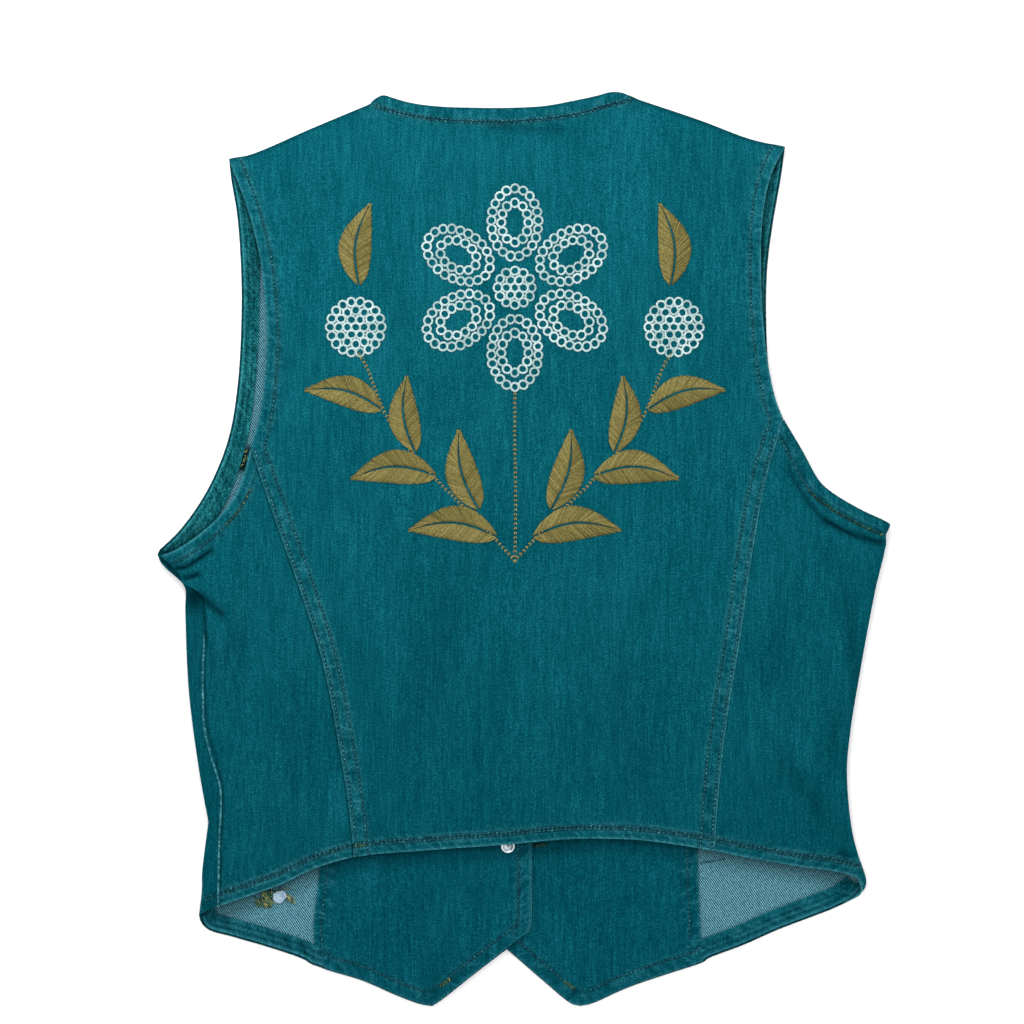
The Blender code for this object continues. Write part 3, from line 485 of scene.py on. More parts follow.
LEFT_FOLD_LINE = joined(LEFT_FOLD[:LEFT_FOLD_CORNER + 1], LEFT_FOLD[LEFT_FOLD_CORNER:])
RIGHT_FOLD_LINE = smooth_line(RIGHT_FOLD)
RIGHT_FRONT_EDGE = joined(DIAGONAL_RIGHT, CLOSING_RIGHT, V_NECK_RIGHT)
SHOULDER_LINES = (smooth_line(SHOULDER_LEFT), smooth_line(SHOULDER_RIGHT))
NECK_SEAM_LINE = smooth_line(NECK_SEAM)
SIDE_LINE_LEFT = joined(FELLED_SEAM_LEFT, BACK_ARMHOLE_LEFT)
SIDE_LINE_RIGHT = joined(FELLED_SEAM_RIGHT, BACK_ARMHOLE_RIGHT)
BACK_HEM_LINE = joined(BACK_HEM_LEFT, BACK_HEM_CENTRE, BACK_HEM_RIGHT)
BACK_ARMHOLE_LINES = (
    joined(SIDE_ARMHOLE_LEFT, BACK_ARMHOLE_LEFT), joined(SIDE_ARMHOLE_RIGHT[::-1], BACK_ARMHOLE_RIGHT),
)


def left_fold_centre(y):
    """The x of the line that the left fold turns round."""
    return x_on_line(LEFT_FOLD_LINE, y) + DENIM_WALL / 2 + SIDE_FOLD_RADIUS


def right_fold_centre(y):
    """The x of the line that the right fold turns round."""
    return x_on_line(RIGHT_FOLD_LINE, y) - DENIM_WALL / 2 - SIDE_FOLD_RADIUS


def shoulder_turn(x, y):
    """How far the cloth has turned over the shoulder: 0 flat, 1 upright at the shoulder edge."""
    distance = np.minimum(measure_to(SHOULDER_LINES[0], x, y)[0], measure_to(SHOULDER_LINES[1], x, y)[0])
    inward = np.clip(1.0 - distance / SHOULDER_FOLD_RADIUS, 0.0, 1.0)
    return 1.0 - np.sqrt(1.0 - inward**2)


def creases(x, y):
    """Height that folds and drag lines add to the back, and the shade painted along them."""
    height, shade = np.zeros(np.shape(x)), np.zeros(np.shape(x))
    for fold_x, fold_y, turn, length, width, depth in BACK_FOLDS + FINE_FOLDS:
        c, s = math.cos(math.radians(turn)), math.sin(math.radians(turn))
        run = (x - fold_x) * c + (y - fold_y) * s
        side = (y - fold_y) * c - (x - fold_x) * s
        amount = np.exp(-((2 * run / length) ** 2) - (2 * side / width) ** 2 / 2)
        height = height + depth * amount
        shade = np.maximum(shade, -FOLD_SHADE * depth * amount)
    for points, width, depth in DRAG_LINES:
        line = smooth_line(points)
        distance, run = measure_to(line, x, y)
        ends = ease(run, 0.0, 3 * width) * ease(run_length(line) - run, -width, width)
        amount = np.exp(-((distance / width) ** 2)) * ends
        height = height + depth * amount
        shade = np.maximum(shade, -DRAG_SHADE * depth * amount)
    return height, shade


def back_height(x, y):
    """Height of the back's middle surface above the ground."""
    from_left = np.maximum(0.0, x - left_fold_centre(y))
    from_right = np.maximum(0.0, right_fold_centre(y) - x)
    side_rise = GROUND_LEVEL + 2 * SIDE_FOLD_RADIUS - BACK_LEVEL
    height = BACK_LEVEL + side_rise * (
        np.exp(-((from_left / SIDE_FOLD_REACH) ** 2)) + np.exp(-((from_right / SIDE_FOLD_REACH) ** 2))
    )
    placket = PLACKET_RISE * np.exp(-(((x - SNAP_X) / PLACKET_RISE_REACH) ** 2))
    height = height + placket * (1.0 - ease(y, PLACKET_FADE_START_Y, PLACKET_FADE_END_Y))
    for seed, (size, lump) in enumerate(UNEVEN_SIZES_AND_HEIGHTS):
        height = height + lump * cloud(x, y, size, seed)
    return height + creases(x, y)[0]


def cap_lift(x, y):
    """Lift of the closing edge over the snap caps under it."""
    across = 1.0 - ease(np.abs(x - SNAP_X), CAP_LIFT_FLAT, CAP_LIFT_FLAT + CAP_LIFT_RAMP)
    near, far = CAP_LIFT_ENDS
    low_end = ease(y, SNAP_ROWS_Y[0] - far, SNAP_ROWS_Y[0] - near)
    high_end = 1.0 - ease(y, SNAP_ROWS_Y[-1] + near, SNAP_ROWS_Y[-1] + far)
    return CAP_LIFT * across * low_end * high_end


def front_right_height(x, y):
    """The right front lies on the ground and rises over the snap caps."""
    return GROUND_LEVEL + cap_lift(x, y)


def front_left_height(x, y):
    """The left front rises over the edge of the right front and its facing."""
    past_edge = x - x_on_line(RIGHT_FRONT_EDGE, np.maximum(y, CLOSING_FOOT_RIGHT[1]))
    over_edge = ease(past_edge, OVERLAP_RAMP_START, OVERLAP_RAMP_END)
    return GROUND_LEVEL + over_edge * (OVERLAP_LIFT + cap_lift(np.maximum(x, CAP_LIFT_KEPT_X), y))


def on_back(grid):
    """Back panel: over the fronts, turned down at its shoulder edges and where it reaches the left fold."""
    x, y = grid[..., 0], grid[..., 1]
    centre = left_fold_centre(y)
    beyond = np.clip((centre - x) / SIDE_FOLD_RADIUS, 0.0, 1.0)
    top = back_height(np.maximum(x, centre), y)
    height = GROUND_LEVEL + (1.0 + np.sqrt(1.0 - beyond**2)) / 2 * (top - GROUND_LEVEL)
    return np.stack([x, y, height - shoulder_turn(x, y) * SHOULDER_TURN], axis=-1)


def on_front(grid, flat_height):
    """Front panel: on the ground, its shoulder edge turned up to meet the back."""
    x, y = grid[..., 0], grid[..., 1]
    height = flat_height(x, y) + shoulder_turn(x, y) * SHOULDER_TURN
    return np.stack([x, y, height], axis=-1)


def tuck(x, y):
    """How far a point lies in the tuck beside the left armhole corner, from 0 to 1."""
    return np.exp(-(((x - TUCK_PLACE[0]) / TUCK_SIZE[0]) ** 2) - ((y - TUCK_PLACE[1]) / TUCK_SIZE[1]) ** 2)


def round_left_fold(grid):
    """Left front: along the ground, round the left fold and onto the top as far as the side seam."""
    unrolled, y = grid[..., 0], grid[..., 1]
    centre = left_fold_centre(y)
    angle = np.clip((centre - unrolled) / SIDE_FOLD_RADIUS, 0.0, math.pi)
    past = np.maximum(0.0, centre - math.pi * SIDE_FOLD_RADIUS - unrolled)
    x = np.maximum(unrolled, centre) - SIDE_FOLD_RADIUS * np.sin(angle) + past
    low = on_front(np.stack([x, y], axis=-1), front_left_height)[..., 2]
    top = back_height(np.maximum(x, centre), y) - TUCK_DEPTH * tuck(x, y)
    height = low + (1.0 - np.cos(angle)) / 2 * (top - low)
    return np.stack([x, y, height], axis=-1)


def round_right_fold(grid):
    """Right side of the back: along the top, round the right fold and under to the side seam."""
    unrolled, y = grid[..., 0], grid[..., 1]
    centre = right_fold_centre(y)
    angle = np.clip((unrolled - centre) / SIDE_FOLD_RADIUS, 0.0, math.pi)
    past = np.maximum(0.0, unrolled - centre - math.pi * SIDE_FOLD_RADIUS)
    x = np.minimum(unrolled, centre) + SIDE_FOLD_RADIUS * np.sin(angle) - past
    top = back_height(np.minimum(x, centre), y)
    height = GROUND_LEVEL + (1.0 + np.cos(angle)) / 2 * (top - GROUND_LEVEL)
    return np.stack([x, y, height], axis=-1)


def under_right_fold(grid):
    """Ground side of the right half, which rises a little where it reaches the right fold."""
    x, y = grid[..., 0], grid[..., 1]
    centre = right_fold_centre(y)
    beyond = np.clip((x - centre) / SIDE_FOLD_RADIUS, 0.0, 1.0)
    low = on_front(grid, front_right_height)[..., 2]
    top = back_height(np.minimum(x, centre), y)
    height = low + (1.0 - np.sqrt(1.0 - beyond**2)) / 2 * (top - low)
    return np.stack([x, y, height], axis=-1)


def unroll_left(x, y):
    """Unrolled place of a point on the upper half of the left fold or past it on top."""
    centre = left_fold_centre(y)
    angle = math.pi - np.arcsin(np.clip((centre - x) / SIDE_FOLD_RADIUS, 0.0, 1.0))
    return centre - SIDE_FOLD_RADIUS * angle - np.maximum(0.0, x - centre)


def unroll_right(x, y):
    """Unrolled place of a point that lies underneath, past the right fold."""
    return 2 * right_fold_centre(y) + math.pi * SIDE_FOLD_RADIUS - x


def fold_corner(point, side):
    """Unrolled place of a point on the outermost line of a fold."""
    x, y = point
    centre = left_fold_centre(y) if side < 0 else right_fold_centre(y)
    return (float(centre + side * math.pi / 2 * SIDE_FOLD_RADIUS), y)


def moved(points, dx, dy=0.0):
    """Points of a table, moved in the plan."""
    return tuple((x + dx, y + dy) for x, y in points)


def share_at_x(line, x):
    """Share of a line's length at which it reaches an x."""
    order = np.argsort(line[:, 0])
    return float(np.interp(x, line[order, 0], run_shares(line)[order]))


def linear(hex_colour):
    """Linear colour of an sRGB hex value."""
    parts = [int(hex_colour[k:k + 2], 16) / 255 for k in (1, 3, 5)]
    light = [part / 12.92 if part <= 0.04045 else ((part + 0.055) / 1.055) ** 2.4 for part in parts]
    return (*light, 1.0)


def add(tree, kind, links=None, values=None, stops=None, output=0, **settings):
    """Add a node: settings are its properties, values its inputs, links their sources, stops its ramp."""
    made = tree.nodes.new(kind)
    for name, value in settings.items():
        setattr(made, name, value)
    for name, value in (values or {}).items():
        made.inputs[name].default_value = value
    for name, source in (links or {}).items():
        tree.links.new(source, made.inputs[name])
    for k, (place, hex_colour) in enumerate(stops or ()):
        stop = made.color_ramp.elements[k] if k < 2 else made.color_ramp.elements.new(place)
        stop.position = place
        stop.color = linear(hex_colour)
    return made.outputs[output]


def maths(tree, operation, first, second, clamp=False):
    """A sum or product of a pattern with another pattern or a number."""
    number = isinstance(second, float)
    links = {0: first} if number else {0: first, 1: second}
    values = {1: second} if number else None
    return add(tree, "ShaderNodeMath", links, values, operation=operation, use_clamp=clamp)


def summed(tree, parts):
    """Sum of several patterns."""
    total = parts[0]
    for part in parts[1:]:
        total = maths(tree, "ADD", total, part)
    return total


def marked(tree, mark):
    """A value marked on the points of a mesh."""
    return add(tree, "ShaderNodeAttribute", output="Fac", attribute_name=mark)


def noise(tree, place, scale, detail, roughness=0.5):
    """Cloudy unevenness."""
    values = {"Scale": scale, "Detail": detail, "Roughness": roughness}
    return add(tree, "ShaderNodeTexNoise", {"Vector": place}, values)


def remap(tree, value, before, after=(0.0, 1.0)):
    """A value moved from one range to another and kept inside it."""
    ends = dict(zip(("From Min", "From Max", "To Min", "To Max"), (*before, *after)))
    return add(tree, "ShaderNodeMapRange", {"Value": value}, ends)


def scaled(tree, place, size, turn=0.0):
    """Coordinates in units of a pattern's own size, turned in the plan."""
    values = {"Scale": size, "Rotation": (0.0, 0.0, math.radians(turn))}
    return add(tree, "ShaderNodeMapping", {"Vector": place}, values)


def mixed(tree, amount, colour, hex_colour):
    """A colour mixed towards a plain one."""
    return add(tree, "ShaderNodeMixRGB", {"Fac": amount, "Color1": colour}, {"Color2": linear(hex_colour)})


def waves(tree, place, pitch, distortion, detail_scale, direction="X"):
    """Even threads of one pitch, a little crooked."""
    values = {
        "Scale": WAVE_SCALE / pitch, "Distortion": distortion, "Detail": 1.0, "Detail Scale": detail_scale,
    }
    return add(tree, "ShaderNodeTexWave", {"Vector": place}, values, bands_direction=direction)


def object_place(tree):
    """Coordinates of the mesh itself, in metres."""
    return add(tree, "ShaderNodeTexCoord", output="Object")


def new_material(name, **sockets):
    """A named material with values set on its shader's sockets, its tree and a way to link to it."""
    material = bpy.data.materials.new(name)
    material.use_nodes = True
    shader = material.node_tree.nodes["Principled BSDF"]
    for socket, value in sockets.items():
        shader.inputs[socket.replace("_", " ")].default_value = value

    def feed(socket, source):
        material.node_tree.links.new(source, shader.inputs[socket])

    return material, material.node_tree, feed


# Denim patterns: width and length in millimetres, noise detail, share in the dye. Streaks and grain are
# drawn coarser than the real 0.6 mm threads, so that they show at the photo's scale
WARP_STREAKS = (1.05, 16.0, 1.0, 0.23)
WARP_SLUBS = (5.5, 70.0, 2.0, 0.11)
WEAVE_GRAIN = (1.00, 0.95, 1.0, 0.42)
DYE_CLOUDS = (45.0, 70.0, 3.0, 0.13)
WEAVE_PITCHES = {"X": 2.0, "Y": 2.1}
WEAVE_SHARE = 0.045
WEAVE_CROOKED = (9.0, 4.0)
PAINTED_LIGHT_SHARE = 0.06
TWILL_PITCH = 1.26
TWILL_TURN = -35.0
TWILL_CROOKED = (1.6, 1.5)
TWILL_SHARE = 0.50
CLOTH_ROUGHNESS = 0.92
CLOTH_SPECULAR = 0.0
RELIEF_STRENGTH = 0.4
CLOTH_RELIEF = 0.0005
THREAD_RELIEF = 0.0003
MM_IN_METRE = 1000.0

# A wave texture of scale 1 repeats every 2 pi / 20 units
WAVE_SCALE = 2 * math.pi / 20


def relief(tree, feed, height, distance):
    """Fine bumps on a material, from a height pattern."""
    values = {"Strength": RELIEF_STRENGTH, "Distance": distance}
    feed("Normal", add(tree, "ShaderNodeBump", {"Height": height}, values))


def twill_denim(name, shades, worn, shade_colour, puckered=0.32):
    """Over-dyed cotton twill, washed: matt, with upright pale streaks, grain and pale worn ridges."""
    material, tree, feed = new_material(
        name, Roughness=CLOTH_ROUGHNESS, Specular_IOR_Level=CLOTH_SPECULAR
    )
    place = object_place(tree)
    patterns, parts = [], []
    for width, length, detail, share in (WARP_STREAKS, WARP_SLUBS, WEAVE_GRAIN, DYE_CLOUDS):
        size = (MM_IN_METRE / width, MM_IN_METRE / length, MM_IN_METRE / width)
        patterns.append(noise(tree, scaled(tree, place, size), 1.0, detail, 0.6))
        parts.append(maths(tree, "MULTIPLY", patterns[-1], share))
    in_mm = scaled(tree, place, 3 * (MM_IN_METRE,))
    for direction, pitch in WEAVE_PITCHES.items():
        threads = waves(tree, in_mm, pitch, *WEAVE_CROOKED, direction)
        parts.append(maths(tree, "MULTIPLY", threads, WEAVE_SHARE))
    # Painted light: the dye is paler where this mark is high, towards the back's upper left, where the light
    # falls
    parts.append(maths(tree, "MULTIPLY", marked(tree, "painted_light"), PAINTED_LIGHT_SHARE))
    dark, middle, light = shades
    dye = add(
        tree, "ShaderNodeValToRGB", {"Fac": summed(tree, parts)},
        stops=((0.37, dark), (0.68, light), (0.525, middle)),
    )
    streak, grain = patterns[0], patterns[2]

    # Puckers along sewn edges, from each point's place in the band
    bands = []
    for band in ("side", "end"):
        near, run = marked(tree, band + "_near"), marked(tree, band + "_run")
        in_band = add(tree, "ShaderNodeCombineXYZ", {"X": run, "Y": near})
        spread = scaled(tree, in_band, (1.0 / PUCKER_PITCH, 1.0 / PUCKER_LENGTH, 1.0))
        lump = remap(tree, noise(tree, spread, 1.0, 0.8), (0.30, 0.70), (-1.0, 1.0))
        reach = remap(tree, near, (BAND_REACH - BAND_GONE, BAND_REACH - BAND_FULL))
        bands.append(maths(tree, "MULTIPLY", lump, reach))
    pucker = summed(tree, bands)

    # Wear on ridges, broken up by the grain; painted shade in the pucker hollows and wherever the shade mark
    # is set
    speckle = remap(tree, grain, (0.36, 0.66))
    broken = remap(tree, speckle, (0.0, 1.0), (0.4, 1.0))
    rubbed = maths(tree, "MULTIPLY", marked(tree, "wear"), broken)
    ridge = maths(tree, "MULTIPLY", pucker, puckered, clamp=True)
    ridge = maths(tree, "MULTIPLY", ridge, speckle)
    rubbed = maths(tree, "ADD", rubbed, ridge, clamp=True)
    painted_shade = maths(tree, "MULTIPLY", pucker, -puckered, clamp=True)
    painted_shade = maths(tree, "ADD", marked(tree, "shade"), painted_shade, clamp=True)
    feed("Base Color", mixed(tree, painted_shade, mixed(tree, rubbed, dye, worn), shade_colour))
    ribs = maths(tree, "ADD", streak, grain)
    relief(tree, feed, maths(tree, "ADD", pucker, ribs), CLOTH_RELIEF)
    return material


def twill_reverse(name, shades, shade_colour):
    """Inside of the twill: pale weft floats in slanting lines over the dyed warp."""
    material, tree, feed = new_material(
        name, Roughness=CLOTH_ROUGHNESS, Specular_IOR_Level=CLOTH_SPECULAR
    )
    turned = scaled(tree, object_place(tree), 3 * (MM_IN_METRE,), TWILL_TURN)
    lines = waves(tree, turned, TWILL_PITCH, *TWILL_CROOKED)
    fleck = noise(tree, turned, 0.7, 2.0)
    parts = [maths(tree, "MULTIPLY", part, TWILL_SHARE) for part in (lines, fleck)]
    height = summed(tree, parts)
    dark, middle, light = shades
    colour = add(
        tree, "ShaderNodeValToRGB", {"Fac": height}, stops=((0.26, dark), (0.74, light), (0.50, middle))
    )
    # Painted shade wherever the shade mark is set
    feed("Base Color", mixed(tree, marked(tree, "shade"), colour, shade_colour))
    relief(tree, feed, height, CLOTH_RELIEF)
    return material


def spun_thread(name, shades, roughness=0.75):
    """Twisted thread: soft gloss, its tint changing from stitch to stitch."""
    material, tree, feed = new_material(name, Roughness=roughness, Specular_IOR_Level=0.12)
    dark, middle, light = shades
    colour = add(
        tree, "ShaderNodeValToRGB", {"Fac": marked(tree, "tint")},
        stops=((0.0, dark), (1.0, light), (0.5, middle)),
    )
    ply = noise(tree, object_place(tree), 1100.0, 2.0)
    fuzz = remap(tree, ply, (0.35, 0.65), (0.62, 1.18))
    feed("Base Color", add(tree, "ShaderNodeVectorMath", {0: colour, 1: fuzz}, operation="MULTIPLY"))
    relief(tree, feed, ply, THREAD_RELIEF)
    return material


def plated_metal(name, bright, dull, roughness):
    """Pressed metal with a thin plating, lightly scuffed, with painted light and shade: bright on one side,
    dull in its hollows.
    """
    material, tree, feed = new_material(name, Metallic=1.0)
    scuff = noise(tree, object_place(tree), 900.0, 3.0)
    feed("Roughness", remap(tree, scuff, (0.3, 0.7), (0.7 * roughness, 1.3 * roughness)))
    spots = remap(tree, scuff, (0.0, 1.0), (-0.35, 0.35))
    shade_and_scuffs = maths(tree, "ADD", marked(tree, "tint"), spots, clamp=True)
    feed("Base Color", add(tree, "ShaderNodeValToRGB", {"Fac": shade_and_scuffs}, stops=((0.0, bright), (1.0, dull))))
    return material


def pale_floor(name):
    """Matt white painted board, slightly uneven."""
    material, tree, feed = new_material(name, Roughness=0.9, Specular_IOR_Level=0.1)
    mottle = noise(tree, object_place(tree), 6.0, 2.0)
    tone = add(tree, "ShaderNodeValToRGB", {"Fac": mottle}, stops=((0.3, "#fafafa"), (0.7, "#fdfdfd")))
    feed("Base Color", tone)
    return material


def new_piece(name, corners, faces, materials, slots=None, marks=None, sharp_angle=55.0):
    """A named mesh object from corners in millimetres, with values marked on its points."""
    mesh = bpy.data.meshes.new(name)
    mesh.from_pydata((np.asarray(corners) * METRES_PER_MM).tolist(), [], faces)
    for material in materials:
        mesh.materials.append(material)
    if slots is not None:
        mesh.polygons.foreach_set("material_index", np.asarray(slots, dtype=np.int32))
    for mark, values in (marks or {}).items():
        data = mesh.attributes.new(mark, "FLOAT", "POINT").data
        data.foreach_set("value", np.asarray(values, dtype=np.float32))
    mesh.update()
    mesh.shade_smooth()
    mesh.set_sharp_from_angle(angle=math.radians(sharp_angle))
    thing = bpy.data.objects.new(name, mesh)
    bpy.context.scene.collection.objects.link(thing)
    return thing


def stands_for(thing, slot, *nodes):
    """Let a piece ride on the vest and hide the solids it stands for; the slot is not used."""
    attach(thing, "root")
    if nodes:
        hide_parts(*nodes)
    return thing


def cells_of(shape, used=None):
    """Index quads of a grid, leaving out those not used."""
    index = np.arange(shape[0] * shape[1]).reshape(shape)
    quads = np.stack([index[:-1, :-1], index[1:, :-1], index[1:, 1:], index[:-1, 1:]], axis=-1)
    return quads.reshape(-1, 4) if used is None else quads[used]


def grid_normals(points, quads):
    """Mean direction of the quads round each point."""
    corner = points[quads]
    facing = np.cross(corner[:, 2] - corner[:, 0], corner[:, 3] - corner[:, 1])
    total = np.zeros_like(points)
    for k in range(4):
        np.add.at(total, quads[:, k], facing)
    length = np.linalg.norm(total, axis=1, keepdims=True)
    return total / np.maximum(length, 1e-9)


def sheet_normals(middle):
    """Directions of a whole grid, point by point."""
    return grid_normals(middle.reshape(-1, 3), cells_of(middle.shape[:2])).reshape(middle.shape)


# Shapes of the finished cloth pieces, for thread to lie on
SURFACES = {}


def cloth(name, middle, wall, materials, marks, used=None, outer_sign=1.0, floor=None, turned=None):
    """A closed wall about a middle surface, lifted and marked as it was dressed.

    The inner side shows the cloth's reverse, apart from cells marked as turned.
    """
    quads = cells_of(middle.shape[:2], used)
    points = middle.reshape(-1, 3)
    count = len(points)
    flat = {mark: values.reshape(-1) for mark, values in marks.items()}
    raised = flat.pop("lift") - flat.pop("sink")
    normals = grid_normals(points, quads) * outer_sign
    outer = points + normals * (wall / 2 + raised * np.clip(normals[:, 2], 0.0, 1.0))[:, None]
    inner = points - normals * (wall / 2)
    if floor is not None:
        outer[:, 2] = np.maximum(outer[:, 2], floor)
    faces = quads if outer_sign > 0 else quads[:, ::-1]
    sides = np.concatenate([faces[:, [k, (k + 1) % 4]] for k in range(4)])
    alone = ~np.isin(sides[:, 1] * count + sides[:, 0], sides[:, 0] * count + sides[:, 1])
    a, b = sides[alone].T
    rim = np.stack([b, a, a + count, b + count], axis=1)
    every = np.concatenate([faces, faces[:, ::-1] + count, rim])
    reverse = np.ones(len(faces))
    if turned is not None:
        reverse = 1.0 - (turned if used is None else turned[used]).reshape(-1)
    slots = np.concatenate([np.zeros(len(faces)), reverse, np.zeros(len(rim))])
    kept = np.zeros(2 * count, dtype=bool)
    kept[every.reshape(-1)] = True
    corners = np.concatenate([outer, inner])[kept]
    every = (np.cumsum(kept) - 1)[every].tolist()
    SURFACES[name] = BVHTree.FromPolygons(corners.tolist(), every)
    kept_marks = {mark: np.tile(values, 2)[kept] for mark, values in flat.items()}
    return new_piece(name, corners, every, materials, slots, kept_marks)


# A sewn edge: its line, stitch rows, lift, the band its puckers are marked in and their slant, least width,
# rim wear (a painted shade line where negative) and wear beside its rows
SewnEdge = namedtuple("SewnEdge", "line rows lift band slant width rim rubbed")


def even(inset):
    """A stitch row at one inset from end to end."""
    return ((0.0, inset), (1.0, inset))


def sewn(line, rows=(), lift=0.0, band="end", slant=0.5, width=0.0, rim=RIM_WEAR, rubbed=ROW_WEAR):
    return SewnEdge(line, rows, lift, band, slant, width, rim, rubbed)


def row_inset(row, share):
    """Inset of a stitch row at shares of its edge's length, not a number past the row's ends."""
    shares, insets = np.array(row).T
    return np.interp(share, shares, insets, left=math.nan, right=math.nan)


def dress(x, y, edges, seed):
    """Marks of a panel along its sewn edges: lift, sink, wear, shade and places in their bands."""
    names = ("lift", "sink", "wear", "shade", "side_near", "side_run", "end_near", "end_run")
    marks = {name: np.zeros(np.shape(x)) for name in names}

    def deepen(name, values):
        marks[name] = np.maximum(marks[name], values)

    for k, edge in enumerate(edges):
        distance, run = measure_to(edge.line, x, y)
        patchy = 0.5 + 0.5 * cloud(run, 0.4 * distance, 17.0, seed + 7 * k)
        width = np.full(np.shape(x), edge.width)
        for row in edge.rows:
            inset = row_inset(row, run / run_length(edge.line))
            width = np.fmax(width, inset + ROW_MARGIN)
            gap = np.nan_to_num(distance - inset, nan=BAND_REACH)
            trough = np.exp(-((gap / TROUGH_WIDTH) ** 2))
            deepen("sink", STITCH_SINK * trough)
            # Painted shade in the stitch trough
            deepen("shade", TROUGH_SHADE * trough)
            beside = np.exp(-(((np.abs(gap) - 1.5 * ROW_MARGIN) / TROUGH_WIDTH) ** 2))
            deepen("wear", edge.rubbed * patchy * beside)
        turned = 1.0 - ease(distance, width - 0.4, width + 1.4)
        deepen("lift", edge.lift * turned * (0.4 + 0.6 * ease(distance, -0.4, 1.8)))
        on_rim = np.exp(-((distance / RIM_WIDTH) ** 2))
        deepen("wear", max(edge.rim, 0.0) * (0.55 + 0.45 * patchy) * on_rim)
        # A negative rim paints a shade line along the edge
        deepen("shade", max(-edge.rim, 0.0) * on_rim)
        if edge.band:
            near = BAND_REACH - distance
            closer = near > marks[edge.band + "_near"]
            along = run + edge.slant * distance + RUN_APART * k
            marks[edge.band + "_near"] = np.where(closer, near, marks[edge.band + "_near"])
            marks[edge.band + "_run"] = np.where(closer, along, marks[edge.band + "_run"])
    return marks


def dress_back(grid, edges, seed):
    """Marks of a back panel, with shade painted in its creases and light painted towards its upper left."""
    x, y = grid[..., 0], grid[..., 1]
    marks = dress(x, y, edges, seed)
    marks["shade"] = np.maximum(marks["shade"], creases(x, y)[1])
    marks["painted_light"] = np.clip((y - PAINTED_LIGHT_FOOT) / PAINTED_LIGHT_RISE - x / PAINTED_LIGHT_SLOPE, 0.0, 1.0)
    return marks


def dress_front(grid, place, edges, seed, over=(BACK_HEM_LINE,), reach=UNDER_BACK_SHADOW_REACH):
    """Marks of a front piece, with a painted shadow close under the back's edges over it."""
    marks = dress(grid[..., 0], grid[..., 1], edges, seed)
    x, y = place[..., 0], place[..., 1]
    distance = np.min([measure_to(line, x, y)[0] for line in over], axis=0)
    cast_shadow = UNDER_BACK_SHADOW * (1.0 - ease(distance, *reach))
    cast_shadow = cast_shadow + COVERED_RIM_SHADE * np.exp(-((distance / COVERED_RIM_WIDTH) ** 2))
    marks["shade"] = np.maximum(marks["shade"], cast_shadow)
    return marks


HEM_ROWS = tuple(even(inset) for inset in HEM_ROW_INSETS)
STRIP_ROWS = tuple(even(inset) for inset in STRIP_ROW_INSETS)
ARMHOLE_ROWS_SEWN = (even(ARMHOLE_ROW_INSET),)


def back_centre(denim):
    """Middle of the back, from its hem to the neck and shoulders."""
    shoulder_u = levels(32, fine(0.15, 12))
    neck_u = levels(70, (0.012, 0.03, 0.05), (0.012, 0.03, 0.05))
    top = chain((SHOULDER_LEFT, shoulder_u), (NECK, neck_u), (SHOULDER_RIGHT, 1.0 - shoulder_u[::-1]))
    side_steps = fine(0.055, 12)
    u = levels(len(top) - 1 - 2 * len(side_steps), side_steps, side_steps)
    left = chain((FELLED_SEAM_LEFT, BODY_ROWS), (BACK_ARMHOLE_LEFT, NECK_ROWS_UP))
    right = chain((FELLED_SEAM_RIGHT, BODY_ROWS), (BACK_ARMHOLE_RIGHT, NECK_ROWS_UP))
    grid = plan_grid(chain((BACK_HEM_CENTRE, u)), top, left, right)
    shoulder_row = (even(SHOULDER_ROW_INSET),)
    marks = dress_back(
        grid,
        (
            sewn(SIDE_LINE_LEFT, SIDE_ROWS, LAP_RAISE, "side", 0.2, rim=0.6),
            sewn(SIDE_LINE_RIGHT, SIDE_ROWS, LAP_RAISE, "side", -0.2),
            sewn(smooth_line(BACK_HEM_CENTRE), HEM_ROWS, HEM_RAISE, "end", 0.8),
            sewn(smooth_line(NECK), (), 0.0, "end", 0.0, rim=-0.4),
            sewn(NECK_SEAM_LINE, (even(0.0),), 0.0, None, rim=0.0),
            sewn(SHOULDER_LINES[0], shoulder_row, 0.0, None, rim=-0.7, rubbed=0.0),
            sewn(SHOULDER_LINES[1], shoulder_row, 0.0, None, rim=-0.7, rubbed=0.0),
        ),
        seed=100,
    )
    above_seam = grid[..., 1] - np.interp(grid[..., 0], NECK_SEAM_LINE[:, 0], NECK_SEAM_LINE[:, 1])
    marks["lift"] = np.maximum(marks["lift"], LAP_RAISE * ease(above_seam, -ROW_MARGIN, ROW_MARGIN))
    return cloth("back_centre_panel", on_back(grid), DENIM_WALL, denim, marks)


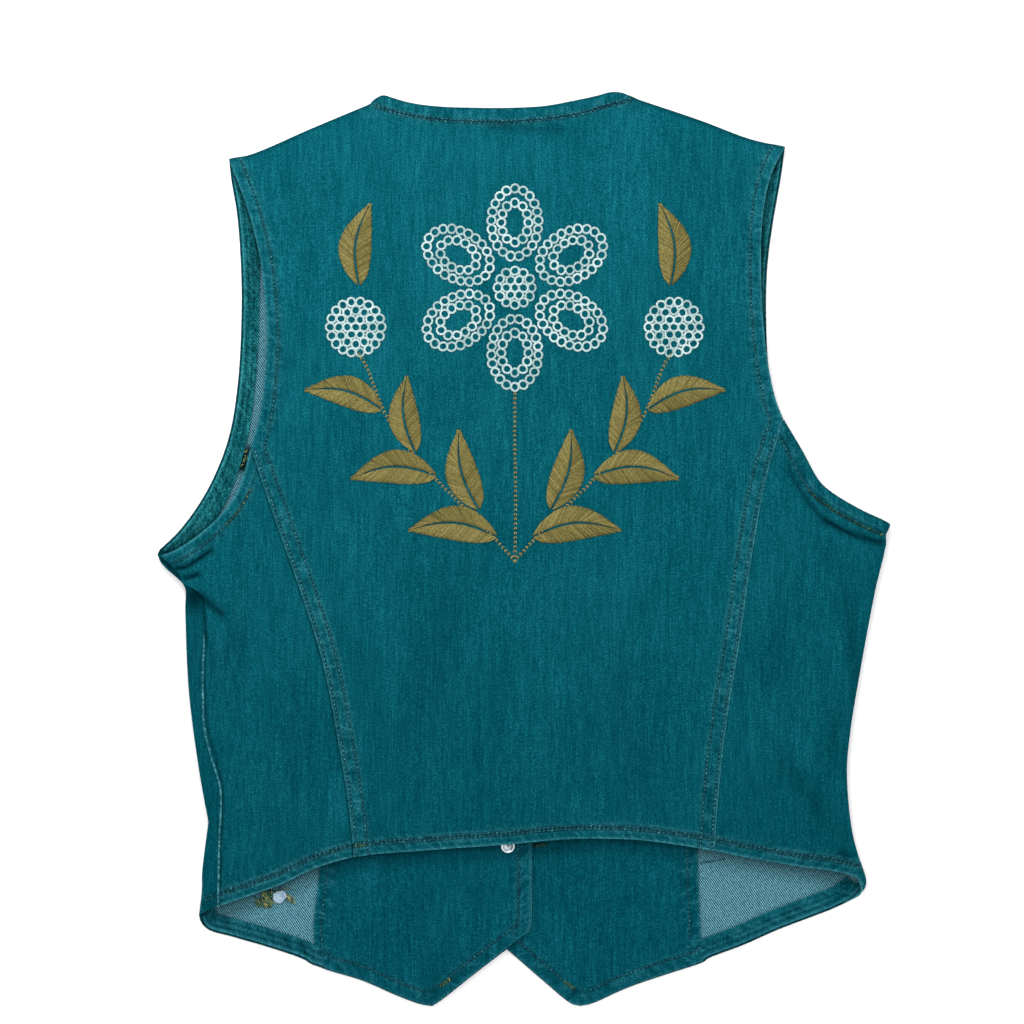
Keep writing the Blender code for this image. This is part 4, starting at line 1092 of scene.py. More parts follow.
def back_side_left(denim):
    """Left side of the back, from the side seam on top to the felled seam."""
    u = levels(52, fine(0.05, 10), fine(0.04, 4))
    hem = moved(BACK_HEM_LEFT[:1], SEAM_GAP) + BACK_HEM_LEFT[1:-1] + moved(BACK_HEM_LEFT[-1:], -SEAM_GAP)
    armhole = moved(SIDE_ARMHOLE_LEFT[:1], SEAM_GAP) + SIDE_ARMHOLE_LEFT[1:-1]
    armhole = armhole + moved(SIDE_ARMHOLE_LEFT[-1:], -SEAM_GAP, -SEAM_GAP / 3)
    grid = plan_grid(
        chain((hem, u)),
        chain((armhole, u)),
        chain((moved(SIDE_SEAM_LEFT, SEAM_GAP), BODY_ROWS)),
        chain((moved(FELLED_SEAM_LEFT, -SEAM_GAP), BODY_ROWS)),
    )
    marks = dress_back(
        grid,
        (
            sewn(smooth_line(BACK_HEM_LEFT), HEM_ROWS, HEM_RAISE, "end", 0.8),
            sewn(smooth_line(SIDE_ARMHOLE_LEFT), ARMHOLE_ROWS_SEWN, HEM_RAISE, "end", 0.5),
            sewn(smooth_line(FELLED_SEAM_LEFT), (), 0.0, None, rim=-0.75),
            sewn(smooth_line(SIDE_SEAM_LEFT), (SIDE_SEAM_SHADE,), 0.0, None, rim=0.0, rubbed=0.0),
        ),
        seed=200,
    )
    return cloth("back_side_left_panel", on_back(grid), DENIM_WALL, denim, marks)


def under_seam():
    """The right side seam, which lies on the ground side of the vest."""
    y = UNDER_SEAM_LOW_Y + (UNDER_SEAM_HIGH_Y - UNDER_SEAM_LOW_Y) * BODY_ROWS
    return np.stack([x_on_line(RIGHT_FOLD_LINE, y) - SIDE_SEAM_ROLL, y], axis=1)


def near_edge_cells(grid, lines, width):
    """Cells of a grid whose first corner lies within a width of any of the lines."""
    x, y = grid[:-1, :-1, 0], grid[:-1, :-1, 1]
    return np.min([measure_to(line, x, y)[0] for line in lines], axis=0) < width


def back_side_right(denim):
    """Right side of the back, turned under at the fold as far as the side seam."""
    u = np.concatenate([levels(44, fine(0.04, 4)) * 0.80, 0.80 + 0.20 * levels(22)[1:]])
    seam = under_seam()
    seam[:, 0] = unroll_right(seam[:, 0], seam[:, 1])
    hem = moved(BACK_HEM_RIGHT[:1], SEAM_GAP) + BACK_HEM_RIGHT[1:]
    hem = hem + (fold_corner(RIGHT_FOLD[-1], 1), tuple(seam[0]))
    armhole = moved(SIDE_ARMHOLE_RIGHT[:1], SEAM_GAP, -SEAM_GAP / 3) + SIDE_ARMHOLE_RIGHT[1:]
    armhole = armhole + (fold_corner(RIGHT_FOLD[0], 1), tuple(seam[-1]))
    grid = plan_grid(
        chain((hem, u)), chain((armhole, u)), chain((moved(FELLED_SEAM_RIGHT, SEAM_GAP), BODY_ROWS)), seam,
    )
    hem_line, armhole_line = smooth_line(hem), smooth_line(armhole)
    marks = dress_back(
        grid,
        (
            sewn(hem_line, HEM_ROWS, HEM_RAISE, "end", -0.8),
            sewn(armhole_line, ARMHOLE_ROWS_SEWN, HEM_RAISE, "end", -0.5, rim=-0.4),
        ),
        seed=300,
    )
    turned = near_edge_cells(grid, (hem_line, armhole_line), HEM_WIDTH)
    middle = round_right_fold(grid)
    return cloth("back_side_right_panel", middle, DENIM_WALL, denim, marks, floor=0.0, turned=turned)


def front_plan(side_rows, hem, shoulder, facing_edge, facing_ends_x, closing):
    """Plan grid of a front in two parts that share the facing's edge, and that edge's line."""
    hem_line, shoulder_line = smooth_line(hem), smooth_line(shoulder)
    hem_cut = share_at_x(hem_line, facing_ends_x[0])
    shoulder_cut = share_at_x(shoulder_line, facing_ends_x[1])
    edge_ends = points_along(hem_line, [hem_cut])[0], points_along(shoulder_line, [shoulder_cut])[0]
    edge_line = smooth_line((tuple(edge_ends[0]), *facing_edge, tuple(edge_ends[1])))
    edge = points_along(edge_line, run_shares(side_rows))
    outer = plan_grid(
        points_along(hem_line, hem_cut * FRONT_OUTER_COLUMNS),
        points_along(shoulder_line, shoulder_cut * FRONT_OUTER_COLUMNS),
        side_rows,
        edge,
    )
    facing = plan_grid(
        points_along(hem_line, hem_cut + (1 - hem_cut) * FRONT_FACING_COLUMNS),
        points_along(shoulder_line, shoulder_cut + (1 - shoulder_cut) * FRONT_FACING_COLUMNS),
        edge,
        closing,
    )
    return np.concatenate([outer, facing[1:]]), edge_line


def closing_edge(diagonal, straight, v_neck):
    """Points of a front's closing edge, from its point at the hem up to the neck."""
    return chain((diagonal, DIAGONAL_ROWS), (straight, CLOSING_ROWS), (v_neck, ARMHOLE_ROWS))


def edge_strip(name, line, shares, width, inner_side, fold, turning, seed, reach=UNDER_BACK_SHADOW_REACH):
    """A turned edge: a strip beside an edge line, on the inner side of its front."""
    along = points_along(line, shares)
    widths = np.interp(shares, *np.array(width).T)
    insets = [STRIP_INSET + part * widths for part in np.linspace(0.0, 1.0, STRIP_COLUMNS)]
    grid = np.stack([offset_line(along, inner_side * inset) for inset in insets], axis=1)
    middle = fold(grid)
    normals = sheet_normals(middle)
    upward = np.sign(np.mean(normals[..., 2]))
    middle = middle + normals * upward * FACING_OFFSET
    edges = (
        sewn(grid[:, 0], STRIP_ROWS, STRIP_LIFT, "end", 0.9, rim=STRIP_RIM_WEAR),
        sewn(grid[:, -1], (), 0.1, None, width=1.0, rim=INNER_RIM_WEAR),
    )
    if upward < 0:
        middle, grid = middle[:, ::-1], grid[:, ::-1]
    marks = dress_front(grid, middle, edges, seed, (*BACK_ARMHOLE_LINES, BACK_HEM_LINE), reach)
    return cloth(name, middle, FACING_WALL, turning, marks)


def facing_layer(name, middle, plan, columns, lines, facing_edge, lining, seed, closing_rim=RIM_WEAR):
    """A facing: a block of its front's points, moved to the inner side.

    The last of its lines is the closing edge.
    """
    block = (slice(*columns), slice(1, -4))
    normals = sheet_normals(middle)
    layer = middle[block] + normals[block] * FACING_OFFSET
    rims = (RIM_WEAR, RIM_WEAR, closing_rim)
    edges = [
        sewn(line, (even(FACING_ROW_INSET),), 0.35, "end", 0.6, rim=rim, rubbed=0.15)
        for line, rim in zip(lines, rims)
    ]
    edges.append(sewn(facing_edge, (), 0.2, "side", 0.2, width=2.0, rim=INNER_RIM_WEAR))
    return cloth(name, layer, FACING_WALL, lining, dress_front(plan[block], plan[block], edges, seed))


def front_left(denim, lining, turning):
    """Left front, its facing and turned edges; gives the facing edge's line."""
    hem_corner, nose = fold_corner(LEFT_FOLD[-1], -1), fold_corner(LEFT_FOLD[0], -1)
    fold_edge = tuple(fold_corner(point, -1) for point in reversed(LEFT_FOLD))
    armhole = (nose,) + FRONT_ARMHOLE_LEFT
    hem = (hem_corner,) + FRONT_HEM_LEFT
    side = chain((fold_edge, BODY_ROWS), (armhole, ARMHOLE_ROWS))
    closing = closing_edge(DIAGONAL_LEFT, CLOSING_LEFT, V_NECK_LEFT)
    plan, facing_edge = front_plan(
        side, hem, SHOULDER_LEFT, FACING_EDGE_LEFT, FACING_ENDS_X_LEFT, closing
    )

    # The part that turns onto the top, from the side seam to the outermost line of the fold
    turned_u = levels(14, fine(0.08, 3))[:-1]
    extra, body = len(turned_u), len(BODY_ROWS)
    seam = points_along(smooth_line(SIDE_SEAM_LEFT), BODY_ROWS)
    seam[:, 0] = unroll_left(seam[:, 0], seam[:, 1])
    turned = (1 - turned_u)[:, None, None] * seam[None] + turned_u[:, None, None] * side[None, :body]
    blank = np.repeat(side[None, body:], extra, axis=0)
    grid = np.concatenate([np.concatenate([turned, blank], axis=1), plan])
    middle = round_left_fold(grid)
    used = np.ones((middle.shape[0] - 1, middle.shape[1] - 1), dtype=bool)
    used[:extra, body - 1:] = False

    hem_line, armhole_line = smooth_line(hem), smooth_line(armhole)
    closing_lines = (smooth_line(DIAGONAL_LEFT), smooth_line(CLOSING_LEFT))
    edges = (
        sewn(seam, (), LAP_RAISE, None, width=4.0, rim=0.0),
        sewn(hem_line, rim=SHADED_RIM),
        sewn(armhole_line, rim=SHADED_RIM),
        sewn(closing_lines[1], (), 0.0, None),
    )
    marks = dress_front(grid, middle, edges, 400)
    # Painted shade in the tuck, where wear is taken out, on the turned-up part and its creases, and in the
    # armhole slot
    in_tuck = tuck(middle[..., 0], middle[..., 1])
    creased = creases(middle[:extra, :, 0], middle[:extra, :, 1])[1]
    marks["shade"][:extra] = np.maximum(marks["shade"][:extra], TURNED_SHADE + creased)
    marks["shade"] = np.maximum(marks["shade"], TUCK_SHADE * in_tuck)
    marks["wear"] = marks["wear"] * (1.0 - in_tuck)
    slot = measure_to(np.array(SLOT_LINE), grid[..., 0], grid[..., 1])[0]
    marks["shade"] = np.maximum(marks["shade"], 1.0 - ease(slot, 2.0, 5.0))
    folded = near_edge_cells(grid, (hem_line, armhole_line, *closing_lines), STRIP_INSET + 2.0)
    cloth(
        "front_left_panel", middle, DENIM_WALL, denim, marks, used, outer_sign=-1.0, floor=0.0, turned=folded
    )

    edge = len(FRONT_OUTER_COLUMNS) - 1
    facing_layer(
        "front_facing_left_layer", middle[extra:], plan, (edge, -1), (hem_line, *closing_lines), facing_edge,
        lining, 500, closing_rim=2.0,
    )
    hem_shares = np.linspace(0.012, share_at_x(hem_line, FACING_ENDS_X_LEFT[0]) - 0.006, 60)
    edge_strip(
        "front_hem_left_turning", hem_line, hem_shares, HEM_STRIP_LEFT, -1.0, round_left_fold, lining, 600
    )
    edge_strip(
        "armhole_left_turning", armhole_line, np.linspace(0.02, 0.985, 130), ARMHOLE_STRIP_LEFT, 1.0,
        round_left_fold, turning, 700, STRIP_SHADOW_REACH,
    )
    return facing_edge


def front_right(denim, lining, turning):
    """Right front, its facing and turned edges; gives the facing edge's line."""
    seam = under_seam() - (SEAM_GAP, 0.0)
    armhole = (tuple(seam[-1]),) + FRONT_ARMHOLE_RIGHT
    hem = FRONT_HEM_RIGHT + (tuple(seam[0]),)
    side = np.concatenate([seam, chain((armhole, ARMHOLE_ROWS))[1:]])
    closing = closing_edge(DIAGONAL_RIGHT, CLOSING_RIGHT, V_NECK_RIGHT)
    plan, facing_edge = front_plan(
        side, hem[::-1], SHOULDER_RIGHT[::-1], FACING_EDGE_RIGHT, FACING_ENDS_X_RIGHT, closing
    )
    plan = plan[::-1]
    middle = on_front(plan, front_right_height)
    hem_line, armhole_line = smooth_line(hem), smooth_line(armhole)
    closing_lines = (smooth_line(DIAGONAL_RIGHT), smooth_line(CLOSING_RIGHT))
    folded = near_edge_cells(plan, (hem_line, armhole_line, *closing_lines), STRIP_INSET + 2.0)
    edges = (sewn(hem_line, rim=SHADED_RIM), sewn(armhole_line, rim=SHADED_RIM))
    marks = dress_front(plan, plan, edges, 800)
    cloth("front_right_panel", middle, DENIM_WALL, denim, marks, outer_sign=-1.0, floor=0.0, turned=folded)

    edge = len(FRONT_FACING_COLUMNS) - 1
    facing_layer(
        "front_facing_right_layer", middle, plan, (1, edge + 1), (hem_line, *closing_lines), facing_edge,
        lining, 900,
    )
    strip_line = smooth_line(hem + RIGHT_FOLD[:-3:-1])
    hem_shares = np.linspace(share_at_x(strip_line, FACING_ENDS_X_RIGHT[0]) + 0.006, 0.99, 70)
    edge_strip(
        "front_hem_right_turning", strip_line, hem_shares, HEM_STRIP_RIGHT, -1.0, under_right_fold,
        lining, 1000,
    )
    edge_strip(
        "armhole_right_turning", armhole_line, np.linspace(0.03, 0.985, 130), ARMHOLE_STRIP_RIGHT, -1.0,
        under_right_fold, turning, 1100,
    )
    return facing_edge


def rest_on(surface, places):
    """Points on top of a piece at places in the plan; places beside it come back as not a number."""
    tree, down = SURFACES[surface], Vector((0.0, 0.0, -1.0))
    flat = np.asarray(places, dtype=float).reshape(-1, 2)
    heights = []
    for x, y in flat:
        hit = tree.ray_cast(Vector((x, y, RAY_START_HEIGHT)), down)[0]
        heights.append(math.nan if hit is None else hit.z)
    points = np.concatenate([flat, np.array(heights)[:, None]], axis=1)
    return points.reshape(*np.shape(places)[:-1], 3)


def tubes(paths, radii, sides=6, flatness=1.0, closed=False):
    """Corners and faces of many tubes: paths has a row of points for each tube, radii one size a point."""
    count, steps = paths.shape[:2]
    if closed:
        along = np.roll(paths, -1, axis=1) - np.roll(paths, 1, axis=1)
    else:
        along = np.gradient(paths, axis=1)
    along /= np.maximum(np.linalg.norm(along, axis=2, keepdims=True), 1e-9)
    aside = np.cross(along, (0.0, 0.0, 1.0))
    aside /= np.maximum(np.linalg.norm(aside, axis=2, keepdims=True), 1e-9)
    upright = np.cross(aside, along)
    turn = np.arange(sides) * 2 * math.pi / sides
    radii = np.broadcast_to(radii, (count, steps))[:, :, None, None]
    ring = np.cos(turn)[:, None] * aside[:, :, None] + flatness * np.sin(turn)[:, None] * upright[:, :, None]
    corners = (paths[:, :, None] + radii * ring).reshape(-1, 3)
    index = np.arange(count * steps * sides).reshape(count, steps, sides)
    after = np.roll(index, -1, axis=2)
    if closed:
        ahead, ahead_after = np.roll(index, -1, axis=1), np.roll(after, -1, axis=1)
        return corners, np.stack([index, after, ahead_after, ahead], axis=-1).reshape(-1, 4).tolist()
    walls = np.stack([index[:, :-1], after[:, :-1], after[:, 1:], index[:, 1:]], axis=-1).reshape(-1, 4)
    ends = index[:, 0, ::-1].tolist() + index[:, -1].tolist()
    return corners, walls.tolist() + ends


class ThreadWork:
    """Threads gathered from many places into one joined mesh, with a tint for each thread."""

    def __init__(self):
        self.corners, self.faces, self.tints, self.count = [], [], [], 0

    def lay(self, paths, radii, tints, **shape):
        sound = ~np.isnan(paths).any(axis=(1, 2))
        if not sound.any():
            return
        kept_radii = radii[sound] if np.ndim(radii) == 2 else radii
        corners, faces = tubes(paths[sound], kept_radii, **shape)
        self.faces += [[k + self.count for k in face] for face in faces]
        self.corners.append(corners)
        self.tints.append(np.repeat(tints[sound], len(corners) // sound.sum()))
        self.count += len(corners)

    def sew(self, name, material, slot):
        marks = {"tint": np.concatenate(self.tints)}
        thing = new_piece(name, np.concatenate(self.corners), self.faces, [material], None, marks, 180.0)
        return stands_for(thing, slot)


STITCH_PROFILE = np.array([0.35, 0.9, 1.0, 0.9, 0.35])
STITCH_SHARES = np.array([-0.5, -0.3, 0.0, 0.3, 0.5])
STITCH_HEIGHTS = np.array([-0.25, 0.12, 0.24, 0.12, -0.25])


def stitch_row(
    work, surface, line, row, side, tones, seed, slant=0.0, span=(0.0, 1.0), pitch=STITCH_PITCH,
    length=STITCH_LENGTH, radius=THREAD_RADIUS,
):
    """A row of single stitches beside an edge, right of its way where side is 1, ends sunk in the cloth.

    The stitches take the tones in turn.
    """
    edge_shares = np.linspace(row[0][0], row[-1][0], ROW_POINTS)
    path = offset_line(points_along(line, edge_shares), side * row_inset(row, edge_shares))
    count = max(2, int(run_length(path) * (span[1] - span[0]) / pitch))
    shares = np.linspace(span[0], span[1], count)
    chance = np.random.default_rng(seed)
    middles = points_along(path, shares) + chance.normal(0.0, STITCH_SCATTER, (count, 2))
    before = points_along(path, np.maximum(shares - STEP_ALONG, 0.0))
    ahead = points_along(path, np.minimum(shares + STEP_ALONG, 1.0)) - before
    angle = np.arctan2(ahead[:, 1], ahead[:, 0]) + math.radians(slant)
    angle = angle + chance.normal(0.0, STITCH_TURN_SCATTER, count)
    direction = np.stack([np.cos(angle), np.sin(angle)], axis=1)
    reach = length * (1.0 + chance.normal(0.0, STITCH_LENGTH_SCATTER, count))
    places = middles[:, None] + STITCH_SHARES[None, :, None] * reach[:, None, None] * direction[:, None]
    paths = rest_on(surface, places)
    paths[..., 2] += STITCH_HEIGHTS + radius * STITCH_PROUD
    tints = np.clip(chance.normal(np.resize(tones, count), TONE_SCATTER), 0.0, 1.0)
    work.lay(paths, radius * STITCH_PROFILE, tints)


def sew_seams(facing_edge_left, facing_edge_right):
    """Every stitch row of the vest that shows."""
    work = ThreadWork()
    centre, side_left, side_right = "back_centre_panel", "back_side_left_panel", "back_side_right_panel"
    facing_left, facing_right = "front_facing_left_layer", "front_facing_right_layer"
    hem_left, hem_right = smooth_line(FRONT_HEM_LEFT), smooth_line(FRONT_HEM_RIGHT)
    armhole_row, facing_row = even(ARMHOLE_ROW_INSET), even(FACING_ROW_INSET)

    # Surface, edge, row, side of the edge, tone, slant in degrees, span of the row
    whole = (0.0, 1.0)
    rows = [
        (centre, SIDE_LINE_LEFT, SIDE_ROWS[0], 1, 0.60, 0, whole),
        (centre, SIDE_LINE_LEFT, SIDE_ROWS[1], 1, 0.50, 0, whole),
        (centre, SIDE_LINE_RIGHT, SIDE_ROWS[0], -1, 0.60, 0, whole),
        (centre, SIDE_LINE_RIGHT, SIDE_ROWS[1], -1, 0.55, 0, whole),
        (side_left, smooth_line(SIDE_ARMHOLE_LEFT), armhole_row, 1, 0.35, 30, (0.06, 0.75)),
        (side_right, smooth_line(SIDE_ARMHOLE_RIGHT), ARMHOLE_ROW_RIGHT, 1, 0.35, 30, (0.0, 0.5)),
        (facing_left, facing_edge_left, even(FACING_EDGE_INSETS[0]), 1, 0.5, 0, (0.03, 0.2)),
        (facing_right, facing_edge_right, even(FACING_EDGE_INSETS[1]), -1, 0.4, 0, (0.03, 0.2)),
        ("front_right_panel", np.array(POCKET_ROW), even(0.0), 1, 0.5, 0, whole),
        (facing_left, smooth_line(CLOSING_LEFT), facing_row, -1, 0.3, 0, (0.0, 0.24)),
        (facing_left, smooth_line(DIAGONAL_LEFT), facing_row, -1, 0.5, 0, (0.12, 0.93)),
        (facing_right, smooth_line(DIAGONAL_RIGHT), facing_row, 1, 0.5, 0, (0.12, 1.0)),
        (facing_left, hem_left, facing_row, -1, 0.4, 0, (0.5, 0.95)),
        (facing_right, hem_right, facing_row, -1, 0.4, 0, (0.05, 0.5)),
    ]
    for inset in HEM_ROW_INSETS:
        rows += [
            (side_left, smooth_line(BACK_HEM_LEFT), even(inset), -1, 0.45, 34, whole),
            (centre, smooth_line(BACK_HEM_CENTRE), even(inset), -1, 0.45, 34, whole),
            (side_right, smooth_line(BACK_HEM_RIGHT), even(inset), -1, 0.36, 34, whole),
            ("front_left_panel", np.array(HEM_ROW_PAST_SEAM), even(inset), -1, 0.3, 34, whole),
        ]
    for inset in NECK_ROW_INSETS:
        rows.append((centre, NECK_SEAM_LINE, even(inset), 1, 0.55, -30, (0.01, 0.99)))
    low_armhole = smooth_line(LOW_ARMHOLE_RIGHT)
    rows.append((side_right, low_armhole, ARMHOLE_ROW_RIGHT, 1, 0.1, 40, LOW_ARMHOLE_SPAN))
    for k, (surface, line, row, side, tone, slant, span) in enumerate(rows):
        length = SLANTED_STITCH_LENGTH if slant else STITCH_LENGTH
        stitch_row(work, surface, line, row, side, (tone, HOLE_SHADE_TONE), 10 + k, slant, span, length=length)
    stitch_row(
        work, "front_left_panel", smooth_line(SIDE_SEAM_LEFT), SIDE_SEAM_ROW, -1, SIDE_SEAM_TONES, 9,
        length=SIDE_SEAM_STITCH, radius=SIDE_SEAM_RADIUS,
    )
    return work


# Coarse stitches of the left side seam
SIDE_SEAM_TONES = (0.6, 0.5)
SIDE_SEAM_STITCH = 2.7
SIDE_SEAM_RADIUS = 0.75

# Where the back hem's rows run on past the side seam, as the edge below them
HEM_ROW_PAST_SEAM = ((-208.0, -238.0), (-201.6, -235.8))

# Row of an inside pocket, seen on the reverse of the right front
POCKET_ROW = ((117.5, -207.8), (134.0, -205.0))

# Tangles of loose tobacco thread: middle, half spread, threads, turn, half length
TANGLES = (
    ((-171.3, -230.8), (5.0, 4.8), 44, -54.0, 3.4),
    ((-161.5, -226.0), (4.4, 1.4), 8, -20.0, 2.6),
    ((-154.0, -231.0), (2.6, 2.6), 9, -40.0, 2.4),
)
TANGLE_TURN_SCATTER = 24.0
TANGLE_LENGTHS = (0.5, 1.2)
TANGLE_RISES = (0.2, 1.1)

# Slot in the left armhole edge, where bits of the same thread show and shade is painted on the front beneath
SLOT_LINE = ((-183.6, 65.0), (-186.4, 53.0))
SLOT_BITS = 12
SLOT_SCATTER = 0.5
SLOT_TURN = 77.0
SLOT_TURN_SCATTER = 40.0
SLOT_BIT_LENGTHS = (0.8, 1.6)
SLOT_BIT_RISE = 0.5

# One loose thread: how far it bows, its height over the cloth, its size and taper
LOOSE_BOW = 0.8
LOOSE_CLEAR = 0.25
LOOSE_RADIUS = 0.32
LOOSE_PROFILE = np.array([0.5, 1.0, 1.0, 1.0, 1.0, 1.0, 0.5])

# Short tacks: surface, the two ends and how pale they are
TACKS = (
    ("front_facing_left_layer", (-55.0, -288.8), (-48.5, -284.2), 0.45),
    ("front_facing_right_layer", (27.0, -286.2), (33.5, -291.0), 0.45),
    ("front_facing_right_layer", (7.0, -196.3), (14.0, -195.4), 0.3),
    ("back_centre_panel", (-111.0, -196.3), (-105.0, -195.7), 0.3),
)
TACK_PITCH = 0.75
TACK_LENGTH = 2.5
TACK_SLANT = 62.0

# Edge of the right armhole as far as its foot, and the part of it with a heavy row
LOW_ARMHOLE_RIGHT = SIDE_ARMHOLE_RIGHT + ((240.5, 17.4),)
LOW_ARMHOLE_SPAN = (0.46, 0.99)

# Heavy rows along the side armholes: surface, edge, row, tones, slant, span, pitch, length, radius
# Tones of 0 are dark stitches that stand for painted shade between the stitches
HEAVY_ROWS = (
    (
        "back_side_left_panel", SIDE_ARMHOLE_LEFT, even(ARMHOLE_ROW_INSET), (0.4, 0.0, 0.0, 0.0), 24.0,
        (0.47, 0.74), 1.1, 1.8, 0.5,
    ),
    (
        "back_side_right_panel", LOW_ARMHOLE_RIGHT, ARMHOLE_ROW_RIGHT, (0.25, 0.0, 0.0), 64.0,
        LOW_ARMHOLE_SPAN, 1.5, 2.2, 0.5,
    ),
)


def spin(angle):
    """Matrix that turns rows of plan points by an angle."""
    c, s = math.cos(angle), math.sin(angle)
    return np.array([[c, s], [-s, c]])


def bar_tacks():
    """Tobacco thread: tangles round the rivet, bits in the armhole slot, short tacks and heavy rows."""
    work = ThreadWork()
    chance = np.random.default_rng(5)
    shares = np.linspace(-1.0, 1.0, len(LOOSE_PROFILE))

    def loose_thread(middle, turn, half_length, rise, tint):
        bow = chance.normal(0.0, LOOSE_BOW) * (1 - shares**2)
        run = np.stack([shares * half_length, bow], axis=1)
        path = rest_on("front_left_panel", middle + run @ spin(math.radians(turn)))[None]
        path[..., 2] += LOOSE_CLEAR + rise * (1 - shares**2)
        work.lay(path, LOOSE_RADIUS * LOOSE_PROFILE, np.array([tint]))

    for place, spread, threads, turn, half_length in TANGLES:
        for _ in range(threads):
            middle = np.array(place) + chance.uniform(-1.0, 1.0, 2) * spread
            angle = turn + chance.normal(0.0, TANGLE_TURN_SCATTER)
            half = half_length * chance.uniform(*TANGLE_LENGTHS)
            rise = chance.uniform(*TANGLE_RISES)
            loose_thread(middle, angle, half, rise, chance.uniform())
    for _ in range(SLOT_BITS):
        on_slot = points_along(np.array(SLOT_LINE), chance.uniform(0.0, 1.0, 1))[0]
        middle = on_slot + chance.normal(0.0, SLOT_SCATTER, 2)
        angle = SLOT_TURN + chance.normal(0.0, SLOT_TURN_SCATTER)
        half = chance.uniform(*SLOT_BIT_LENGTHS)
        loose_thread(middle, angle, half, SLOT_BIT_RISE, chance.uniform())
    for k, (surface, start, end, tone) in enumerate(TACKS):
        stitch_row(
            work, surface, np.linspace(start, end, 9), even(0.0), 1, (tone, 0.0), 120 + k, TACK_SLANT,
            pitch=TACK_PITCH, length=TACK_LENGTH,
        )
    for k, (surface, edge, row, tones, *shape) in enumerate(HEAVY_ROWS):
        stitch_row(work, surface, smooth_line(edge), row, 1, tones, 140 + k, *shape)
    return work


# Embroidery: a spray of leaves and ring-stitched flowers, sized from its middle on the back
SPRAY_MIDDLE = (-6.0, 120.0)
RING_RADIUS = 2.75
RING_THREAD = 0.72
RING_PITCH = 5.6
PETAL_COUNT = 6
PETAL_DISTANCE = 43.0
PETAL_HALF_LENGTH = 22.5
PETAL_HALF_WIDTH = 15.5
PETAL_ROUNDS = (1.0, 0.58)
FLOWER_PLACE = (0.0, 52.0)
SIDE_FLOWER_PLACE = (105.0, 26.0)
SATIN_PITCH = 0.78
SATIN_RADIUS = 0.52
LEAF_WIDTH_SHARE = 0.40
LEAF_SPLIT = 0.75
LEAF_CROWN = 0.45
STEM_PITCH = 2.9
STEM_STITCH = 1.8

# Leaves of the right half, mirrored for the left: foot x and y, turn in degrees, length, bend
LEAVES = (
    (12.0, -112.0, 4.0, 58.0, 7.0),
    (24.0, -94.0, 76.0, 54.0, -5.0),
    (52.0, -72.0, -2.0, 56.0, 7.0),
    (66.0, -56.0, 84.0, 50.0, -5.0),
    (88.0, -28.0, 14.0, 52.0, 6.0),
    (103.0, 54.0, 98.0, 54.0, -6.0),
)
STEM_MIDDLE = ((0.0, -128.0), (0.5, -90.0), (0.0, -50.0), (0.0, -18.0))
STEM_SIDE = ((0.0, -128.0), (22.0, -104.0), (56.0, -70.0), (84.0, -34.0), (98.0, 0.0), (103.0, 8.0))


def ring_places():
    """Middles of the stitched rings: petals of one large flower and two small round ones beside it."""
    loop = np.linspace(0.0, 2 * math.pi, 241)
    outline = np.stack([PETAL_HALF_LENGTH * np.cos(loop), PETAL_HALF_WIDTH * np.sin(loop)], axis=1)
    rings = []
    for size in PETAL_ROUNDS:
        count = round(size * run_length(outline) / RING_PITCH)
        rings.append(points_along(size * outline, np.linspace(0.0, 1.0, count + 1)[:-1]))
    petal = np.concatenate(rings) + (PETAL_DISTANCE, 0.0)
    turns = np.arange(PETAL_COUNT) * 2 * math.pi / PETAL_COUNT + math.pi / 2
    places = [petal @ spin(turn) + FLOWER_PLACE for turn in turns]
    mirrored = (-SIDE_FLOWER_PLACE[0], SIDE_FLOWER_PLACE[1])
    for place, rounds in ((FLOWER_PLACE, 2), (SIDE_FLOWER_PLACE, 3), (mirrored, 3)):
        places.append(np.array([place]))
        for k in range(1, rounds + 1):
            turn = np.arange(6 * k) * 2 * math.pi / (6 * k)
            places.append(np.stack([np.cos(turn), np.sin(turn)], axis=1) * RING_PITCH * k + place)
    return np.concatenate(places) + SPRAY_MIDDLE


def ring_stitching():
    """White rings, each a wound loop of thread lying on the cloth."""
    work = ThreadWork()
    places = ring_places()
    chance = np.random.default_rng(31)
    steps = 22
    turn = np.arange(steps) * 2 * math.pi / steps
    radius = RING_RADIUS * (1.0 + chance.normal(0.0, 0.035, (len(places), 1)))
    radius = radius * (1.0 + 0.04 * np.cos(2 * turn + chance.uniform(0, 6, (len(places), 1))))
    around = np.stack([np.cos(turn) * radius, np.sin(turn) * radius], axis=2)
    paths = rest_on("back_centre_panel", places[:, None] + around)
    tilt = chance.uniform(0, 2 * math.pi, (len(places), 1))
    paths[..., 2] += 0.35 + 0.18 * np.cos(turn[None] - tilt)
    wound = RING_THREAD * (1.0 + 0.14 * np.cos(np.arange(steps) * math.pi))
    work.lay(paths, wound, chance.uniform(0.0, 1.0, len(places)), closed=True, flatness=0.8)
    return work


